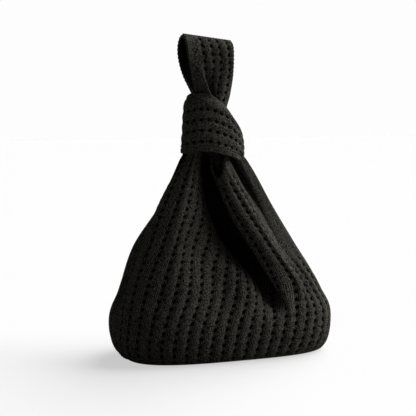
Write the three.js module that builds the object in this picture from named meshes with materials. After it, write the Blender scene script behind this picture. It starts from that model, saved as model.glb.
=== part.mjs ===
// A knitted knot bag, closed: a soft pouch whose short handle is looped round its long handle.
// Units are millimetres, +Z is up and the origin is on the floor under the middle of the belly.
// +X runs along the pouch's width, towards the short handle, and -Y is the front with the mouth.
import * as THREE from "three";

// Pouch
const BELLY_WIDTH = 262;
const BELLY_DEPTH = 140;
const BELLY_HEIGHT = 36; // the widest part above the floor
const BASE_INSET = 16; // from the belly in to the rim of the base
const BASE_SHIFT = 2; // the base stands to the right of the belly
const BASE_FORWARD = 2; // and in front of it
const CORNER_POWER = 3; // 2 makes an ellipse, more makes a squarer outline
const NECK_HEIGHT = 230; // where the pouch ends under the knot
const NECK_WIDTH = 63;
const NECK_DEPTH = 42;
const NECK_LEAN = -11; // the neck stands to the left of the base
const GATHER_POWER = 1.2; // 1 makes straight shoulders, more makes hollow ones
const KNIT_THICKNESS = 4;
const BASE_THICKNESS = 4;
const SEAM_WIDTH = 3;
const EDGING_DIAMETER = 3;

// Mouth, seen as a dip in the rim between the two handles
const FRONT_MOUTH_DROP = 28;
const BACK_MOUTH_DROP = 16;

// Long handle: a gathered column through the knot, and the wrist loop above it
const COLUMN_WIDTH = 42;
const COLUMN_DEPTH = 28;
const FOOT_HEIGHT = 16; // the column's flare where it stands on the pouch
const LOOP_LEAN = -17;
const LOOP_WIDTH = 57;
const LOOP_HEIGHT = 47; // above the line where the loop folds
const LOOP_OPENING = 22; // between the two limbs
const LOOP_SLOPE = 0.085; // the loop's top falls to the right
const SPREAD_START = 0.4; // how far below the fold line the strap starts to spread, in loop heights
const STRAP_THICKNESS = 4.5;
const KNUCKLE_RADIUS = 9; // the rounded gather that the loop folds on

// Short handle: the band round the long handle
const BAND_HEIGHT = 62;
const BAND_THICKNESS = 5;
const BAND_OVERHANG = 6.5; // past the pouch's neck
const BAND_TAPER_POWER = 1.7;
const BAND_ARCH = 4; // the lower rim rises at the front
const BAND_DROP = 40; // the upper rim falls towards the right
const BAND_DROP_START = (4 / 9) * Math.PI; // angle from the left at which it starts to fall
const BAND_SLIDE = 10; // how far the band slides up the long handle

// Clearances
const GAP = 0.3; // between pieces that touch
const MOUTH_EDGING_GAP = 0.9; // under the mouth's edging, which turns sharply in the folds
const SLIDE_CLEARANCE = 1; // between the band and the column
const FOLD_ROOM = 10; // between the raised band and the line where the loop folds
const FLOOR_LIFT = 0.5; // panels stay this far above the floor, so that the base carries

// Mesh steps
const FRONT_STEPS = 72;
const BACK_STEPS = 34;
const HEIGHT_STEPS = 18;
const ROUNDED_STEPS = 5; // of them on the rounded foot
const SEAM_STEPS = 2;
const ROUND_STEPS = 36;
const BAND_STEPS = 18;
const BAND_ROWS = 8;
const TUBE_SIDES = 8;
const EDGING_STEPS = 28;
const KNUCKLE_STEPS = 6;
const LIMB_STEPS = 12;
const STRAP_COLUMNS = 2;
const FOOT_ROWS = 3;
const ARC_TABLE_STEPS = 720;
const WRAP = 3; // fold lines repeated on either side of the left seam, so that the round closes smoothly

// Heights at which the fold lines are given, as shares of the way from the belly to the neck.
const FOLD_LEVELS = [0, 0.253, 0.485, 0.727, 0.97];
const FOLD_START = 0.2; // share of that way over which the folds open
const FOLD_MIDDLE = 0.5; // level at which the panels' columns are evenly spaced

// Lines up the pouch that its folds follow, from the left side by the front. shares are shares of the
// knitted round at each level. widths and depths place a line at each level above the belly, in half
// widths and half depths of the pouch there.
const FOLD_LINES = [
  // left dent
  {
    shares: [0.012, 0.012, 0.012, 0.012, 0.012],
    widths: [-0.965, -0.982, -0.994, -1.015],
    depths: [0.13, 0.08, 0.11, 0.2],
  },
  // left shoulder
  {
    shares: [0.042, 0.042, 0.048, 0.052, 0.056],
    widths: [-1.015, -1.045, -1.078, -1.053],
    depths: [-0.1, -0.136, -0.043, 0.07],
  },
  // left corner
  {
    shares: [0.073, 0.073, 0.071, 0.069, 0.069],
    widths: [-0.952, -0.954, -0.989, -1.009],
    depths: [-0.518, -0.461, -0.399, -0.299],
  },
  // left crest
  {
    shares: [0.115, 0.115, 0.102, 0.09, 0.0875],
    widths: [-0.708, -0.749, -0.806, -0.854],
    depths: [-0.867, -0.755, -0.668, -0.583],
  },
  // left slope
  {
    shares: [0.21, 0.198, 0.146, 0.119, 0.104],
    widths: [-0.191, -0.464, -0.511, -0.659],
    depths: [-0.852, -0.668, -0.594, -0.452],
  },
  // valley edge
  {
    shares: [0.293, 0.272, 0.196, 0.152, 0.125],
    widths: [0.235, -0.03, -0.255, -0.454],
    depths: [-0.7, -0.4, -0.2, -0.034],
  },
  // valley left wall
  {
    shares: [0.304, 0.287, 0.218, 0.184, 0.163],
    widths: [0.31, 0.05, -0.14, -0.335],
    depths: [-0.42, 0.04, 0.287, 0.26],
  },
  // valley
  {
    shares: [0.313, 0.3, 0.25, 0.228, 0.21],
    widths: [0.39, 0.256, 0.114, -0.16],
    depths: [-0.33, 0.5, 0.588, 0.477],
  },
  // valley right wall
  {
    shares: [0.321, 0.309, 0.272, 0.266, 0.265],
    widths: [0.45, 0.36, 0.187, -0.074],
    depths: [-0.51, 0.008, 0.11, 0.185],
  },
  // ridge side
  {
    shares: [0.329, 0.317, 0.294, 0.294, 0.298],
    widths: [0.443, 0.32, 0.11, -0.188],
    depths: [-0.743, -0.418, -0.28, -0.136],
  },
  // ridge left
  {
    shares: [0.339, 0.326, 0.32, 0.322, 0.331],
    widths: [0.368, 0.18, -0.04, -0.12],
    depths: [-0.9, -1.01, -0.892, -0.777],
  },
  // ridge right
  {
    shares: [0.365, 0.358, 0.36, 0.363, 0.37],
    widths: [0.642, 0.5, 0.373, 0.2],
    depths: [-0.937, -1.094, -0.994, -0.9],
  },
  // crest
  {
    shares: [0.387, 0.387, 0.392, 0.392, 0.392],
    widths: [0.711, 0.616, 0.549, 0.44],
    depths: [-0.879, -0.89, -0.753, -0.6],
  },
  // crease
  {
    shares: [0.401, 0.401, 0.408, 0.406, 0.406],
    widths: [0.773, 0.663, 0.638, 0.576],
    depths: [-0.8, -0.76, -0.5, 0.055],
  },
  // right lobe front
  {
    shares: [0.417, 0.415, 0.42, 0.42, 0.42],
    widths: [0.815, 0.714, 0.713, 0.664],
    depths: [-0.793, -0.717, -0.564, -0.482],
  },
  // right lobe side
  {
    shares: [0.447, 0.445, 0.45, 0.45, 0.45],
    widths: [0.941, 0.919, 0.948, 1.07],
    depths: [-0.652, -0.552, -0.45, -0.423],
  },
  // right side
  {
    shares: [0.5, 0.5, 0.5, 0.5, 0.5],
    widths: [1.024, 1.005, 1.003, 1.061],
    depths: [0.05, 0.02, 0.056, 0.136],
  },
  // back right
  {
    shares: [0.57, 0.57, 0.57, 0.57, 0.57],
    widths: [0.898, 0.869, 0.841, 0.848],
    depths: [0.728, 0.733, 0.666, 0.636],
  },
  // back right slope
  {
    shares: [0.65, 0.65, 0.65, 0.65, 0.65],
    widths: [0.486, 0.462, 0.451, 0.455],
    depths: [0.959, 0.916, 0.916, 0.909],
  },
  // back valley
  {
    shares: [0.745, 0.745, 0.745, 0.745, 0.745],
    widths: [0.02, 0.054, 0.045, 0.03],
    depths: [0.9, 0.92, 0.94, 0.96],
  },
  // back left slope
  {
    shares: [0.84, 0.84, 0.84, 0.84, 0.84],
    widths: [-0.474, -0.376, -0.361, -0.394],
    depths: [0.959, 0.916, 0.916, 0.909],
  },
  // back left
  {
    shares: [0.925, 0.925, 0.925, 0.925, 0.925],
    widths: [-0.86, -0.851, -0.783, -0.788],
    depths: [0.728, 0.774, 0.722, 0.682],
  },
  // left bulge
  {
    shares: [0.98, 0.98, 0.98, 0.98, 0.98],
    widths: [-1.012, -1.055, -0.961, -0.985],
    depths: [0.331, 0.367, 0.417, 0.46],
  },
];

const LEFT_SEAM = 0;
const RIGHT_SEAM = 0.5;
const FRONT_MOUTH = { middle: 0.323, reach: 0.064, drop: FRONT_MOUTH_DROP };
const BACK_MOUTH = { middle: 0.745, reach: 0.06, drop: BACK_MOUTH_DROP };
const ROUNDED_ROWS = ROUNDED_STEPS / HEIGHT_STEPS;
const MOUTH_EDGED = 0.82; // share of a mouth's reach that its edging covers
const FOOT_POWER = 1.7; // 1 makes the column's foot a straight cone, more makes it hollow
const EDGING_OFF = GAP * 2; // edgings clear the curved sides that they run along
const BASE_RIM = BASE_INSET;
const SEAM_RIM = BASE_RIM + GAP + SEAM_WIDTH;
const PLATE_RIM = SEAM_RIM + GAP;

const knitMaterial = new THREE.MeshStandardMaterial({ color: 0x1d1c1b, roughness: 0.95, metalness: 0 });
const edgingMaterial = new THREE.MeshStandardMaterial({ color: 0x191817, roughness: 0.9, metalness: 0 });

const bag = new THREE.Group();

// Adds a named piece to the bag.
function addPiece(name, geometry, material = knitMaterial) {
  const piece = new THREE.Mesh(geometry, material);
  piece.name = name;
  bag.add(piece);
}

// Geometry from points and triangles, with the faces turned outward.
function closedGeometry(points, triangles) {
  const volume = triangles.reduce((sum, [a, b, c]) => {
    const cross = new THREE.Vector3().crossVectors(points[b], points[c]);
    return sum + points[a].dot(cross);
  }, 0);
  const faces = volume < 0 ? triangles.map(([a, b, c]) => [a, c, b]) : triangles;
  const geometry = new THREE.BufferGeometry().setFromPoints(points);
  geometry.setIndex(faces.flat());
  geometry.computeVertexNormals();
  return geometry;
}

// Two triangles for each cell of a grid of point numbers.
function gridTriangles(numbers) {
  const triangles = [];
  for (let row = 0; row + 1 < numbers.length; row++) {
    for (let column = 0; column + 1 < numbers[row].length; column++) {
      const a = numbers[row][column];
      const b = numbers[row][column + 1];
      const c = numbers[row + 1][column + 1];
      const d = numbers[row + 1][column];
      triangles.push([a, b, c], [a, c, d]);
    }
  }
  return triangles;
}

// A thick sheet between two grids of points of the same shape.
function sheetGeometry(outer, inner) {
  const points = [...outer.flat(), ...inner.flat()];
  const columns = outer[0].length;
  const rows = outer.length;
  const number = (side, row, column) => (side * rows + row) * columns + column;
  const gridOf = (side) => outer.map((line, row) => line.map((_, column) => number(side, row, column)));
  const front = gridOf(0);
  const back = gridOf(1);
  const flipped = (faces) => faces.map(([a, b, c]) => [a, c, b]);
  const column = (grid, k) => grid.map((line) => line[k]);
  const edge = (pick) => gridTriangles([pick(front), pick(back)]);
  const triangles = [
    ...gridTriangles(front),
    ...flipped(gridTriangles(back)),
    ...flipped(edge((grid) => grid[0])),
    ...edge((grid) => grid[rows - 1]),
    ...edge((grid) => column(grid, 0)),
    ...flipped(edge((grid) => column(grid, columns - 1))),
  ];
  return closedGeometry(points, triangles);
}

// A solid through closed rings of points, with a flat cap on each end.
function loftGeometry(rings) {
  const points = rings.flat();
  const sides = rings[0].length;
  const numbers = rings.map((ring, row) => [...ring.keys(), 0].map((k) => row * sides + k));
  const triangles = gridTriangles(numbers);
  const capOf = (ring, first, reverse) => {
    const centre = ring.reduce((sum, p) => sum.add(p), new THREE.Vector3()).divideScalar(sides);
    points.push(centre);
    const hub = points.length - 1;
    for (let k = 0; k < sides; k++) {
      const a = first + k;
      const b = first + ((k + 1) % sides);
      triangles.push(reverse ? [hub, b, a] : [hub, a, b]);
    }
  };
  capOf(rings[0], 0, true);
  capOf(rings[rings.length - 1], (rings.length - 1) * sides, false);
  return closedGeometry(points, triangles);
}

// A round section at a point of a path. across is any direction that isn't along the path.
function roundSection(point, along, across) {
  const side = new THREE.Vector3().crossVectors(across, along).normalize();
  const up = new THREE.Vector3().crossVectors(along, side).normalize();
  return Array.from({ length: TUBE_SIDES }, (_, k) => {
    const angle = (k / TUBE_SIDES) * 2 * Math.PI;
    return point
      .clone()
      .addScaledVector(side, (EDGING_DIAMETER / 2) * Math.cos(angle))
      .addScaledVector(up, (EDGING_DIAMETER / 2) * Math.sin(angle));
  });
}

// Round sections along a path of points, square to it.
function edgingSections(path, acrossAt, isRing) {
  const last = path.length - 1;
  return path.map((point, k) => {
    const next = isRing ? path[(k + 1) % path.length] : path[Math.min(last, k + 1)];
    const before = isRing ? path[(k + last) % path.length] : path[Math.max(0, k - 1)];
    const along = new THREE.Vector3().subVectors(next, before).normalize();
    return roundSection(point, along, acrossAt(k));
  });
}

// A round edging along a closed path, with +Z across it.
function ringEdging(path) {
  const sections = edgingSections(path, () => new THREE.Vector3(0, 0, 1), true);
  const points = sections.flat();
  const numbers = sections.map((ring, row) => [...ring.keys(), 0].map((k) => row * TUBE_SIDES + k));
  return closedGeometry(points, gridTriangles([...numbers, numbers[0]]));
}

const mix = THREE.MathUtils.lerp;
const smooth = THREE.MathUtils.smoothstep;

// An evenly spaced list from one value to another.
function spaced(from, to, steps) {
  return Array.from({ length: steps + 1 }, (_, k) => mix(from, to, k / steps));
}

// The pouch's outline at an angle, drawn in from the belly by an inset.
function outlinePoint(angle, inset) {
  const round = (value) => Math.sign(value) * Math.abs(value) ** (2 / CORNER_POWER);
  const low = Math.min(1, inset / BASE_INSET);
  const x = BASE_SHIFT * low + (BELLY_WIDTH / 2 - inset) * round(Math.cos(angle));
  const y = -BASE_FORWARD * low + (BELLY_DEPTH / 2 - inset) * round(Math.sin(angle));
  return new THREE.Vector2(x, y);
}

// Length along the belly's outline, from the left side by the front.
const beltAngles = spaced(Math.PI, 3 * Math.PI, ARC_TABLE_STEPS);
const beltLengths = [0];
for (let k = 1; k <= ARC_TABLE_STEPS; k++) {
  const step = outlinePoint(beltAngles[k], 0).distanceTo(outlinePoint(beltAngles[k - 1], 0));
  beltLengths.push(beltLengths[k - 1] + step);
}
const BELT_LENGTH = beltLengths[ARC_TABLE_STEPS];

// The outline's angle at a share of its length.
function beltAngle(share) {
  const wanted = THREE.MathUtils.euclideanModulo(share, 1) * BELT_LENGTH;
  const next = Math.max(1, beltLengths.findIndex((length) => length >= wanted));
  const part = (wanted - beltLengths[next - 1]) / (beltLengths[next] - beltLengths[next - 1]);
  return mix(beltAngles[next - 1], beltAngles[next], part);
}

// A smooth curve through values at rising stations.
function curveThrough(stations, values) {
  const last = stations.length - 1;
  const steepness = (k) => (values[k + 1] - values[k]) / (stations[k + 1] - stations[k]);
  const slopes = values.map((_, k) => {
    if (k === 0) return steepness(0);
    if (k === last) return steepness(last - 1);
    const before = stations[k] - stations[k - 1];
    const after = stations[k + 1] - stations[k];
    return (steepness(k) * before + steepness(k - 1) * after) / (before + after);
  });
  return (wanted) => {
    const found = stations.findLastIndex((station) => station <= wanted);
    const k = THREE.MathUtils.clamp(found, 0, last - 1);
    const span = stations[k + 1] - stations[k];
    const t = THREE.MathUtils.clamp((wanted - stations[k]) / span, 0, 1);
    const square = t * t;
    const cube = square * t;
    const start = (2 * cube - 3 * square + 1) * values[k] + (cube - 2 * square + t) * span * slopes[k];
    const end = (3 * square - 2 * cube) * values[k + 1] + (cube - square) * span * slopes[k + 1];
    return start + end;
  };
}

// Each fold line as curves over the way from the belly to the neck.
const foldCurves = FOLD_LINES.map(({ shares, widths, depths }) => {
  const belly = outlinePoint(beltAngle(shares[0]), 0);
  return {
    share: curveThrough(FOLD_LEVELS, shares),
    width: curveThrough(FOLD_LEVELS, [belly.x / (BELLY_WIDTH / 2), ...widths]),
    depth: curveThrough(FOLD_LEVELS, [belly.y / (BELLY_DEPTH / 2), ...depths]),
  };
});

// The folded outline at a share of the way from the belly to the neck, as two curves over the round.
function foldedOutline(along) {
  const gather = along ** GATHER_POWER;
  const halfWidth = mix(BELLY_WIDTH, NECK_WIDTH, gather) / 2;
  const halfDepth = mix(BELLY_DEPTH, NECK_DEPTH, gather) / 2;
  const stations = foldCurves.map((fold) => ({
    share: fold.share(along),
    x: NECK_LEAN * gather + halfWidth * fold.width(along),
    y: halfDepth * fold.depth(along),
  }));
  const turned = (station, turns) => ({ ...station, share: station.share + turns });
  const around = [
    ...stations.slice(-WRAP).map((station) => turned(station, -1)),
    ...stations,
    ...stations.slice(0, WRAP).map((station) => turned(station, 1)),
  ];
  const shares = around.map((station) => station.share);
  return {
    x: curveThrough(shares, around.map((station) => station.x)),
    y: curveThrough(shares, around.map((station) => station.y)),
  };
}

const outlines = new Map();

// A point of the folded outline, which is worked out once for each height.
function foldedPoint(along, share) {
  if (!outlines.has(along)) outlines.set(along, foldedOutline(along));
  const outline = outlines.get(along);
  const wrapped = THREE.MathUtils.euclideanModulo(share, 1);
  return new THREE.Vector2(outline.x(wrapped), outline.y(wrapped));
}

// Where a column of the panel lies in the round, so that the columns run along the folds. column is the
// share that it has half of the way up.
function foldedShare(column, along) {
  const middle = [0, ...foldCurves.map((fold) => fold.share(FOLD_MIDDLE)), 1];
  const here = [0, ...foldCurves.map((fold) => fold.share(along)), 1];
  const found = middle.findLastIndex((share) => share <= column);
  const k = THREE.MathUtils.clamp(found, 0, middle.length - 2);
  return mix(here[k], here[k + 1], (column - middle[k]) / (middle[k + 1] - middle[k]));
}

// Distance between two shares of the round, the short way.
function shareDistance(a, b) {
  return THREE.MathUtils.euclideanModulo(a - b + 0.5, 1) - 0.5;
}

// Height of the pouch's rim, which dips at each mouth.
function rimHeight(share) {
  const dip = [FRONT_MOUTH, BACK_MOUTH].reduce((sum, mouth) => {
    const off = Math.min(1, Math.abs(shareDistance(share, mouth.middle)) / mouth.reach);
    return sum + mouth.drop * (1 - off * off);
  }, 0);
  return NECK_HEIGHT - dip;
}

// How far a height lies on the way from the belly to the neck, from 0 to 1.
function gatherShare(height) {
  return THREE.MathUtils.clamp((height - BELLY_HEIGHT) / (NECK_HEIGHT - BELLY_HEIGHT), 0, 1);
}

// A point of the pouch's outer face. rise runs from 0 at the base's rim to 1 at the mouth's rim.
function pouchPoint(share, rise) {
  let height;
  let inset = 0;
  if (rise < ROUNDED_ROWS) {
    const angle = (rise / ROUNDED_ROWS) * (Math.PI / 2);
    height = FLOOR_LIFT + (BELLY_HEIGHT - FLOOR_LIFT) * (1 - Math.cos(angle));
    inset = BASE_INSET * (1 - Math.sin(angle));
  } else {
    height = mix(BELLY_HEIGHT, rimHeight(share), (rise - ROUNDED_ROWS) / (1 - ROUNDED_ROWS));
  }
  const along = gatherShare(height);
  const flat = outlinePoint(beltAngle(share), inset);
  flat.lerp(foldedPoint(along, share), smooth(along, 0, FOLD_START));
  return new THREE.Vector3(flat.x, flat.y, height);
}

// The outward direction of the pouch's face, from points close by.
function pouchNormal(share, rise) {
  const step = 1e-3;
  const along = pouchPoint(share + step, rise).sub(pouchPoint(share - step, rise));
  const low = Math.max(0, rise - step);
  const high = Math.min(1, rise + step);
  const up = pouchPoint(share, high).sub(pouchPoint(share, low));
  return along.cross(up).normalize();
}

// A stretch of the pouch, whose columns lie at given shares of the round in each row.
function pouchStretch(sharesAt) {
  const gridAt = (depth) =>
    spaced(0, 1, HEIGHT_STEPS).map((rise) =>
      sharesAt(rise).map((share) => {
        const point = pouchPoint(share, rise).addScaledVector(pouchNormal(share, rise), -depth);
        point.z = Math.min(point.z, NECK_HEIGHT);
        return point;
      }),
    );
  return sheetGeometry(gridAt(0), gridAt(KNIT_THICKNESS));
}

// A width in millimetres as a share of the pouch's round, measured on the face beside a seam.
function widthShare(width, seam, rise) {
  const step = 4e-3;
  const length = pouchPoint(seam + step, rise).distanceTo(pouchPoint(seam - step, rise));
  return (width * 2 * step) / length;
}

const seamHalf = (seam, rise) => widthShare(SEAM_WIDTH / 2, seam, rise);
const seamSide = (seam, rise) => widthShare(SEAM_WIDTH / 2 + GAP, seam, rise);

// Shares of the round at which the panels' columns lie in a row.
function panelShares(from, to, steps, rise) {
  const start = from + seamSide(from, rise);
  const end = to - seamSide(to, rise);
  const along = Math.max(0, (rise - ROUNDED_ROWS) / (1 - ROUNDED_ROWS));
  return spaced(start, end, steps).map((column) => foldedShare(column, along));
}

const frontShares = (rise) => panelShares(LEFT_SEAM, RIGHT_SEAM, FRONT_STEPS, rise);
const backShares = (rise) => panelShares(RIGHT_SEAM, LEFT_SEAM + 1, BACK_STEPS, rise);
const seamShares = (seam) => (rise) =>
  spaced(seam - seamHalf(seam, rise), seam + seamHalf(seam, rise), SEAM_STEPS);

addPiece("front_panel", pouchStretch(frontShares));
addPiece("back_panel", pouchStretch(backShares));
addPiece("left_side_seam", pouchStretch(seamShares(LEFT_SEAM)), edgingMaterial);
addPiece("right_side_seam", pouchStretch(seamShares(RIGHT_SEAM)), edgingMaterial);

// Base: a flat plate inside a linked seam, which the panels start from
function outlineRing(inset) {
  return spaced(0, 2 * Math.PI, ROUND_STEPS)
    .slice(0, -1)
    .map((angle) => outlinePoint(angle, inset));
}

const plateShape = new THREE.Shape(outlineRing(PLATE_RIM));
const basePlate = new THREE.ExtrudeGeometry(plateShape, { depth: BASE_THICKNESS, bevelEnabled: false });
addPiece("base_panel", basePlate);

const seamShape = new THREE.Shape(outlineRing(BASE_RIM + GAP));
seamShape.holes.push(new THREE.Path(outlineRing(SEAM_RIM).reverse()));
const baseSeam = new THREE.ExtrudeGeometry(seamShape, { depth: BASE_THICKNESS - GAP, bevelEnabled: false });
addPiece("base_seam", baseSeam.translate(0, 0, GAP), edgingMaterial);

// Edging of each mouth, on the panel's rim where it dips
function mouthEdging(mouth, sharesAt) {
  const shares = sharesAt(1);
  const rims = shares.map((share) =>
    pouchPoint(share, 1).addScaledVector(pouchNormal(share, 1), -KNIT_THICKNESS / 2),
  );
  const edged = [...shares.keys()].filter(
    (k) => Math.abs(shares[k] - mouth.middle) < mouth.reach * MOUTH_EDGED,
  );
  const path = edged.map((k) => {
    const before = rims[k].clone().sub(rims[k - 1]).normalize();
    const after = rims[k + 1].clone().sub(rims[k]).normalize();
    const along = before.add(after).normalize();
    const up = pouchNormal(shares[k], 1).cross(along).normalize();
    const off = (MOUTH_EDGING_GAP + EDGING_DIAMETER / 2) / along.dot(after);
    return rims[k].clone().addScaledVector(up, off);
  });
  const sections = edgingSections(path, (k) => pouchNormal(shares[edged[k]], 1), false);
  return loftGeometry(sections);
}

addPiece("front_mouth_edging", mouthEdging(FRONT_MOUTH, frontShares), edgingMaterial);
addPiece("back_mouth_edging", mouthEdging(BACK_MOUTH, backShares), edgingMaterial);

// Knot: the band's heights, and the line where the wrist loop folds
const BAND_FOOT = NECK_HEIGHT + EDGING_DIAMETER + 2 * GAP;
const BAND_TOP = BAND_FOOT + BAND_HEIGHT;
const FOLD_LINE = BAND_TOP + GAP + EDGING_DIAMETER + BAND_SLIDE + FOLD_ROOM;
const COLUMN_FOOT = NECK_HEIGHT + 2 * GAP;
const COLUMN_TOP = FOLD_LINE - KNUCKLE_RADIUS - GAP;

// A point at an angle on an ellipse, 0 on the left and a quarter turn at the front.
function ellipsePoint(centre, halfWidth, halfDepth, angle, height) {
  const x = centre - halfWidth * Math.cos(angle);
  const y = -halfDepth * Math.sin(angle);
  return new THREE.Vector3(x, y, height);
}

// The long handle's gathered column, half in front and half behind.
function columnHalf(side) {
  const footInset = KNIT_THICKNESS / 2;
  const ringAt = (height, flare) => {
    const halfWidth = mix(COLUMN_WIDTH / 2, NECK_WIDTH / 2 - footInset, flare);
    const halfDepth = mix(COLUMN_DEPTH / 2, NECK_DEPTH / 2 - footInset, flare);
    const centre = mix(LOOP_LEAN, NECK_LEAN, flare);
    return spaced(0, Math.PI, ROUND_STEPS / 2).map((angle) => {
      const point = ellipsePoint(centre, halfWidth, halfDepth, angle, height);
      point.y = side * Math.max(GAP / 2, -point.y);
      return point;
    });
  };
  const foot = spaced(0, 1, FOOT_ROWS).map((rise) =>
    ringAt(COLUMN_FOOT + rise * FOOT_HEIGHT, (1 - rise) ** FOOT_POWER),
  );
  return loftGeometry([...foot, ringAt(COLUMN_TOP, 0)]);
}

addPiece("long_handle_front_root", columnHalf(-1));
addPiece("long_handle_back_root", columnHalf(1));

// The band's outer or inner face at an angle and a height.
function bandPoint(angle, height, inset) {
  const taper = THREE.MathUtils.clamp((height - BAND_FOOT) / BAND_HEIGHT, 0, 1) ** BAND_TAPER_POWER;
  const topHalfWidth = COLUMN_WIDTH / 2 + SLIDE_CLEARANCE + BAND_THICKNESS;
  const topHalfDepth = COLUMN_DEPTH / 2 + SLIDE_CLEARANCE + BAND_THICKNESS;
  const halfWidth = mix(NECK_WIDTH / 2 + BAND_OVERHANG, topHalfWidth, taper) - inset;
  const halfDepth = mix(NECK_DEPTH / 2 + BAND_OVERHANG, topHalfDepth, taper) - inset;
  return ellipsePoint(mix(NECK_LEAN, LOOP_LEAN, taper), halfWidth, halfDepth, angle, height);
}

// The band's rims: the lower one arches at the front, the upper one falls to the right.
function lowerRim(angle) {
  return BAND_FOOT + BAND_ARCH * Math.max(0, Math.sin(angle)) ** 2;
}

function upperRim(angle) {
  const fromLeft = Math.acos(THREE.MathUtils.clamp(Math.cos(angle), -1, 1));
  return BAND_TOP - BAND_DROP * smooth(fromLeft, BAND_DROP_START, Math.PI);
}

// A stretch of the band between two angles.
function bandStretch(from, to, steps) {
  const gridAt = (inset) =>
    spaced(0, 1, BAND_ROWS).map((rise) =>
      spaced(from, to, steps).map((angle) =>
        bandPoint(angle, mix(lowerRim(angle), upperRim(angle), rise), inset),
      ),
    );
  return sheetGeometry(gridAt(0), gridAt(BAND_THICKNESS));
}

const topDepth = COLUMN_DEPTH / 2 + SLIDE_CLEARANCE;
const bandSeamHalf = SEAM_WIDTH / 2 / topDepth;
const bandSeamSide = (SEAM_WIDTH / 2 + GAP) / topDepth;
const bandEnd = GAP / topDepth;
addPiece("short_handle_front_limb", bandStretch(bandSeamSide, Math.PI - bandEnd, BAND_STEPS));
addPiece("short_handle_back_limb", bandStretch(Math.PI + bandEnd, 2 * Math.PI - bandSeamSide, BAND_STEPS));
addPiece("short_handle_seam", bandStretch(-bandSeamHalf, bandSeamHalf, SEAM_STEPS), edgingMaterial);

// The band's edgings, one along each rim
for (const [name, rim, side] of [
  ["short_handle_lower_edging", lowerRim, -1],
  ["short_handle_upper_edging", upperRim, 1],
]) {
  const path = spaced(0, 2 * Math.PI, ROUND_STEPS)
    .slice(0, -1)
    .map((angle) => {
      const step = 1e-3;
      const centre = (a) => bandPoint(a, rim(a), BAND_THICKNESS / 2);
      const along = centre(angle + step).sub(centre(angle - step)).normalize();
      const slope = Math.sqrt(1 - along.z ** 2);
      const off = (GAP + EDGING_DIAMETER / 2) / slope;
      return centre(angle).add(new THREE.Vector3(0, 0, side * off));
    });
  addPiece(name, ringEdging(path), edgingMaterial);
}

// The wrist loop: across runs over the strap's width, and rise is above the fold line.
function loopWidth(rise) {
  const spread = smooth(rise, -SPREAD_START * LOOP_HEIGHT, (1 - SPREAD_START) * LOOP_HEIGHT);
  return mix(COLUMN_WIDTH, LOOP_WIDTH, spread);
}

function loopPoint(across, y, rise) {
  const fall = LOOP_SLOPE * across * THREE.MathUtils.clamp(rise / LOOP_HEIGHT, 0, 1);
  return new THREE.Vector3(LOOP_LEAN + across, y, FOLD_LINE + rise - fall);
}

const KNUCKLE_TOP = KNUCKLE_RADIUS * 0.85;
const KNUCKLE_FLAT = 0.25; // radians of the knuckle's round that stay flat underneath
const loopHalf = LOOP_OPENING / 2;
const loopTopSide = SEAM_WIDTH / 2 + GAP;
const loopOuter = new THREE.SplineCurve([
  new THREE.Vector2(-KNUCKLE_RADIUS, 0),
  new THREE.Vector2(-(loopHalf + STRAP_THICKNESS) * 0.88, LOOP_HEIGHT * 0.25),
  new THREE.Vector2(-(loopHalf + STRAP_THICKNESS), LOOP_HEIGHT * 0.52),
  new THREE.Vector2(-(loopHalf + STRAP_THICKNESS) * 0.76, LOOP_HEIGHT * 0.84),
  new THREE.Vector2(-loopTopSide, LOOP_HEIGHT),
]);
const loopInner = new THREE.SplineCurve([
  new THREE.Vector2(-loopTopSide, LOOP_HEIGHT - STRAP_THICKNESS),
  new THREE.Vector2(-loopHalf * 0.72, LOOP_HEIGHT * 0.78),
  new THREE.Vector2(-loopHalf, LOOP_HEIGHT * 0.52),
  new THREE.Vector2(-loopHalf * 0.8, LOOP_HEIGHT * 0.28),
  new THREE.Vector2(-GAP / 2, KNUCKLE_TOP),
]);

// One limb of the loop: its profile seen from the side, spread over the strap's width.
function loopLimb(side) {
  const lowest = -KNUCKLE_RADIUS * Math.cos(KNUCKLE_FLAT);
  const knuckle = spaced(1.5 * Math.PI - KNUCKLE_FLAT, Math.PI, KNUCKLE_STEPS).map(
    (angle) => new THREE.Vector2(KNUCKLE_RADIUS * Math.cos(angle), KNUCKLE_RADIUS * Math.sin(angle)),
  );
  const face = spaced(lowest, KNUCKLE_TOP, KNUCKLE_STEPS).map((rise) => new THREE.Vector2(-GAP / 2, rise));
  const outer = [...knuckle.slice(0, -1), ...loopOuter.getPoints(LIMB_STEPS)];
  const inner = [...face.slice(0, -1), ...loopInner.getPoints(LIMB_STEPS).reverse()];
  const gridOf = (profile) =>
    profile.map((p) =>
      spaced(-0.5, 0.5, STRAP_COLUMNS).map((share) => loopPoint(share * loopWidth(p.y), -side * p.x, p.y)),
    );
  return sheetGeometry(gridOf(outer), gridOf(inner));
}

addPiece("loop_front_limb", loopLimb(-1));
addPiece("loop_back_limb", loopLimb(1));

// The seam that joins the limbs at the top of the loop
const seamLow = LOOP_HEIGHT - STRAP_THICKNESS;
const seamFace = (rise) =>
  [-0.5, 0.5].map((share) =>
    [-0.5, 0.5].map((part) => loopPoint(share * loopWidth(seamLow), part * SEAM_WIDTH, rise)),
  );
addPiece("loop_top_seam", sheetGeometry(seamFace(LOOP_HEIGHT), seamFace(seamLow)), edgingMaterial);

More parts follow.
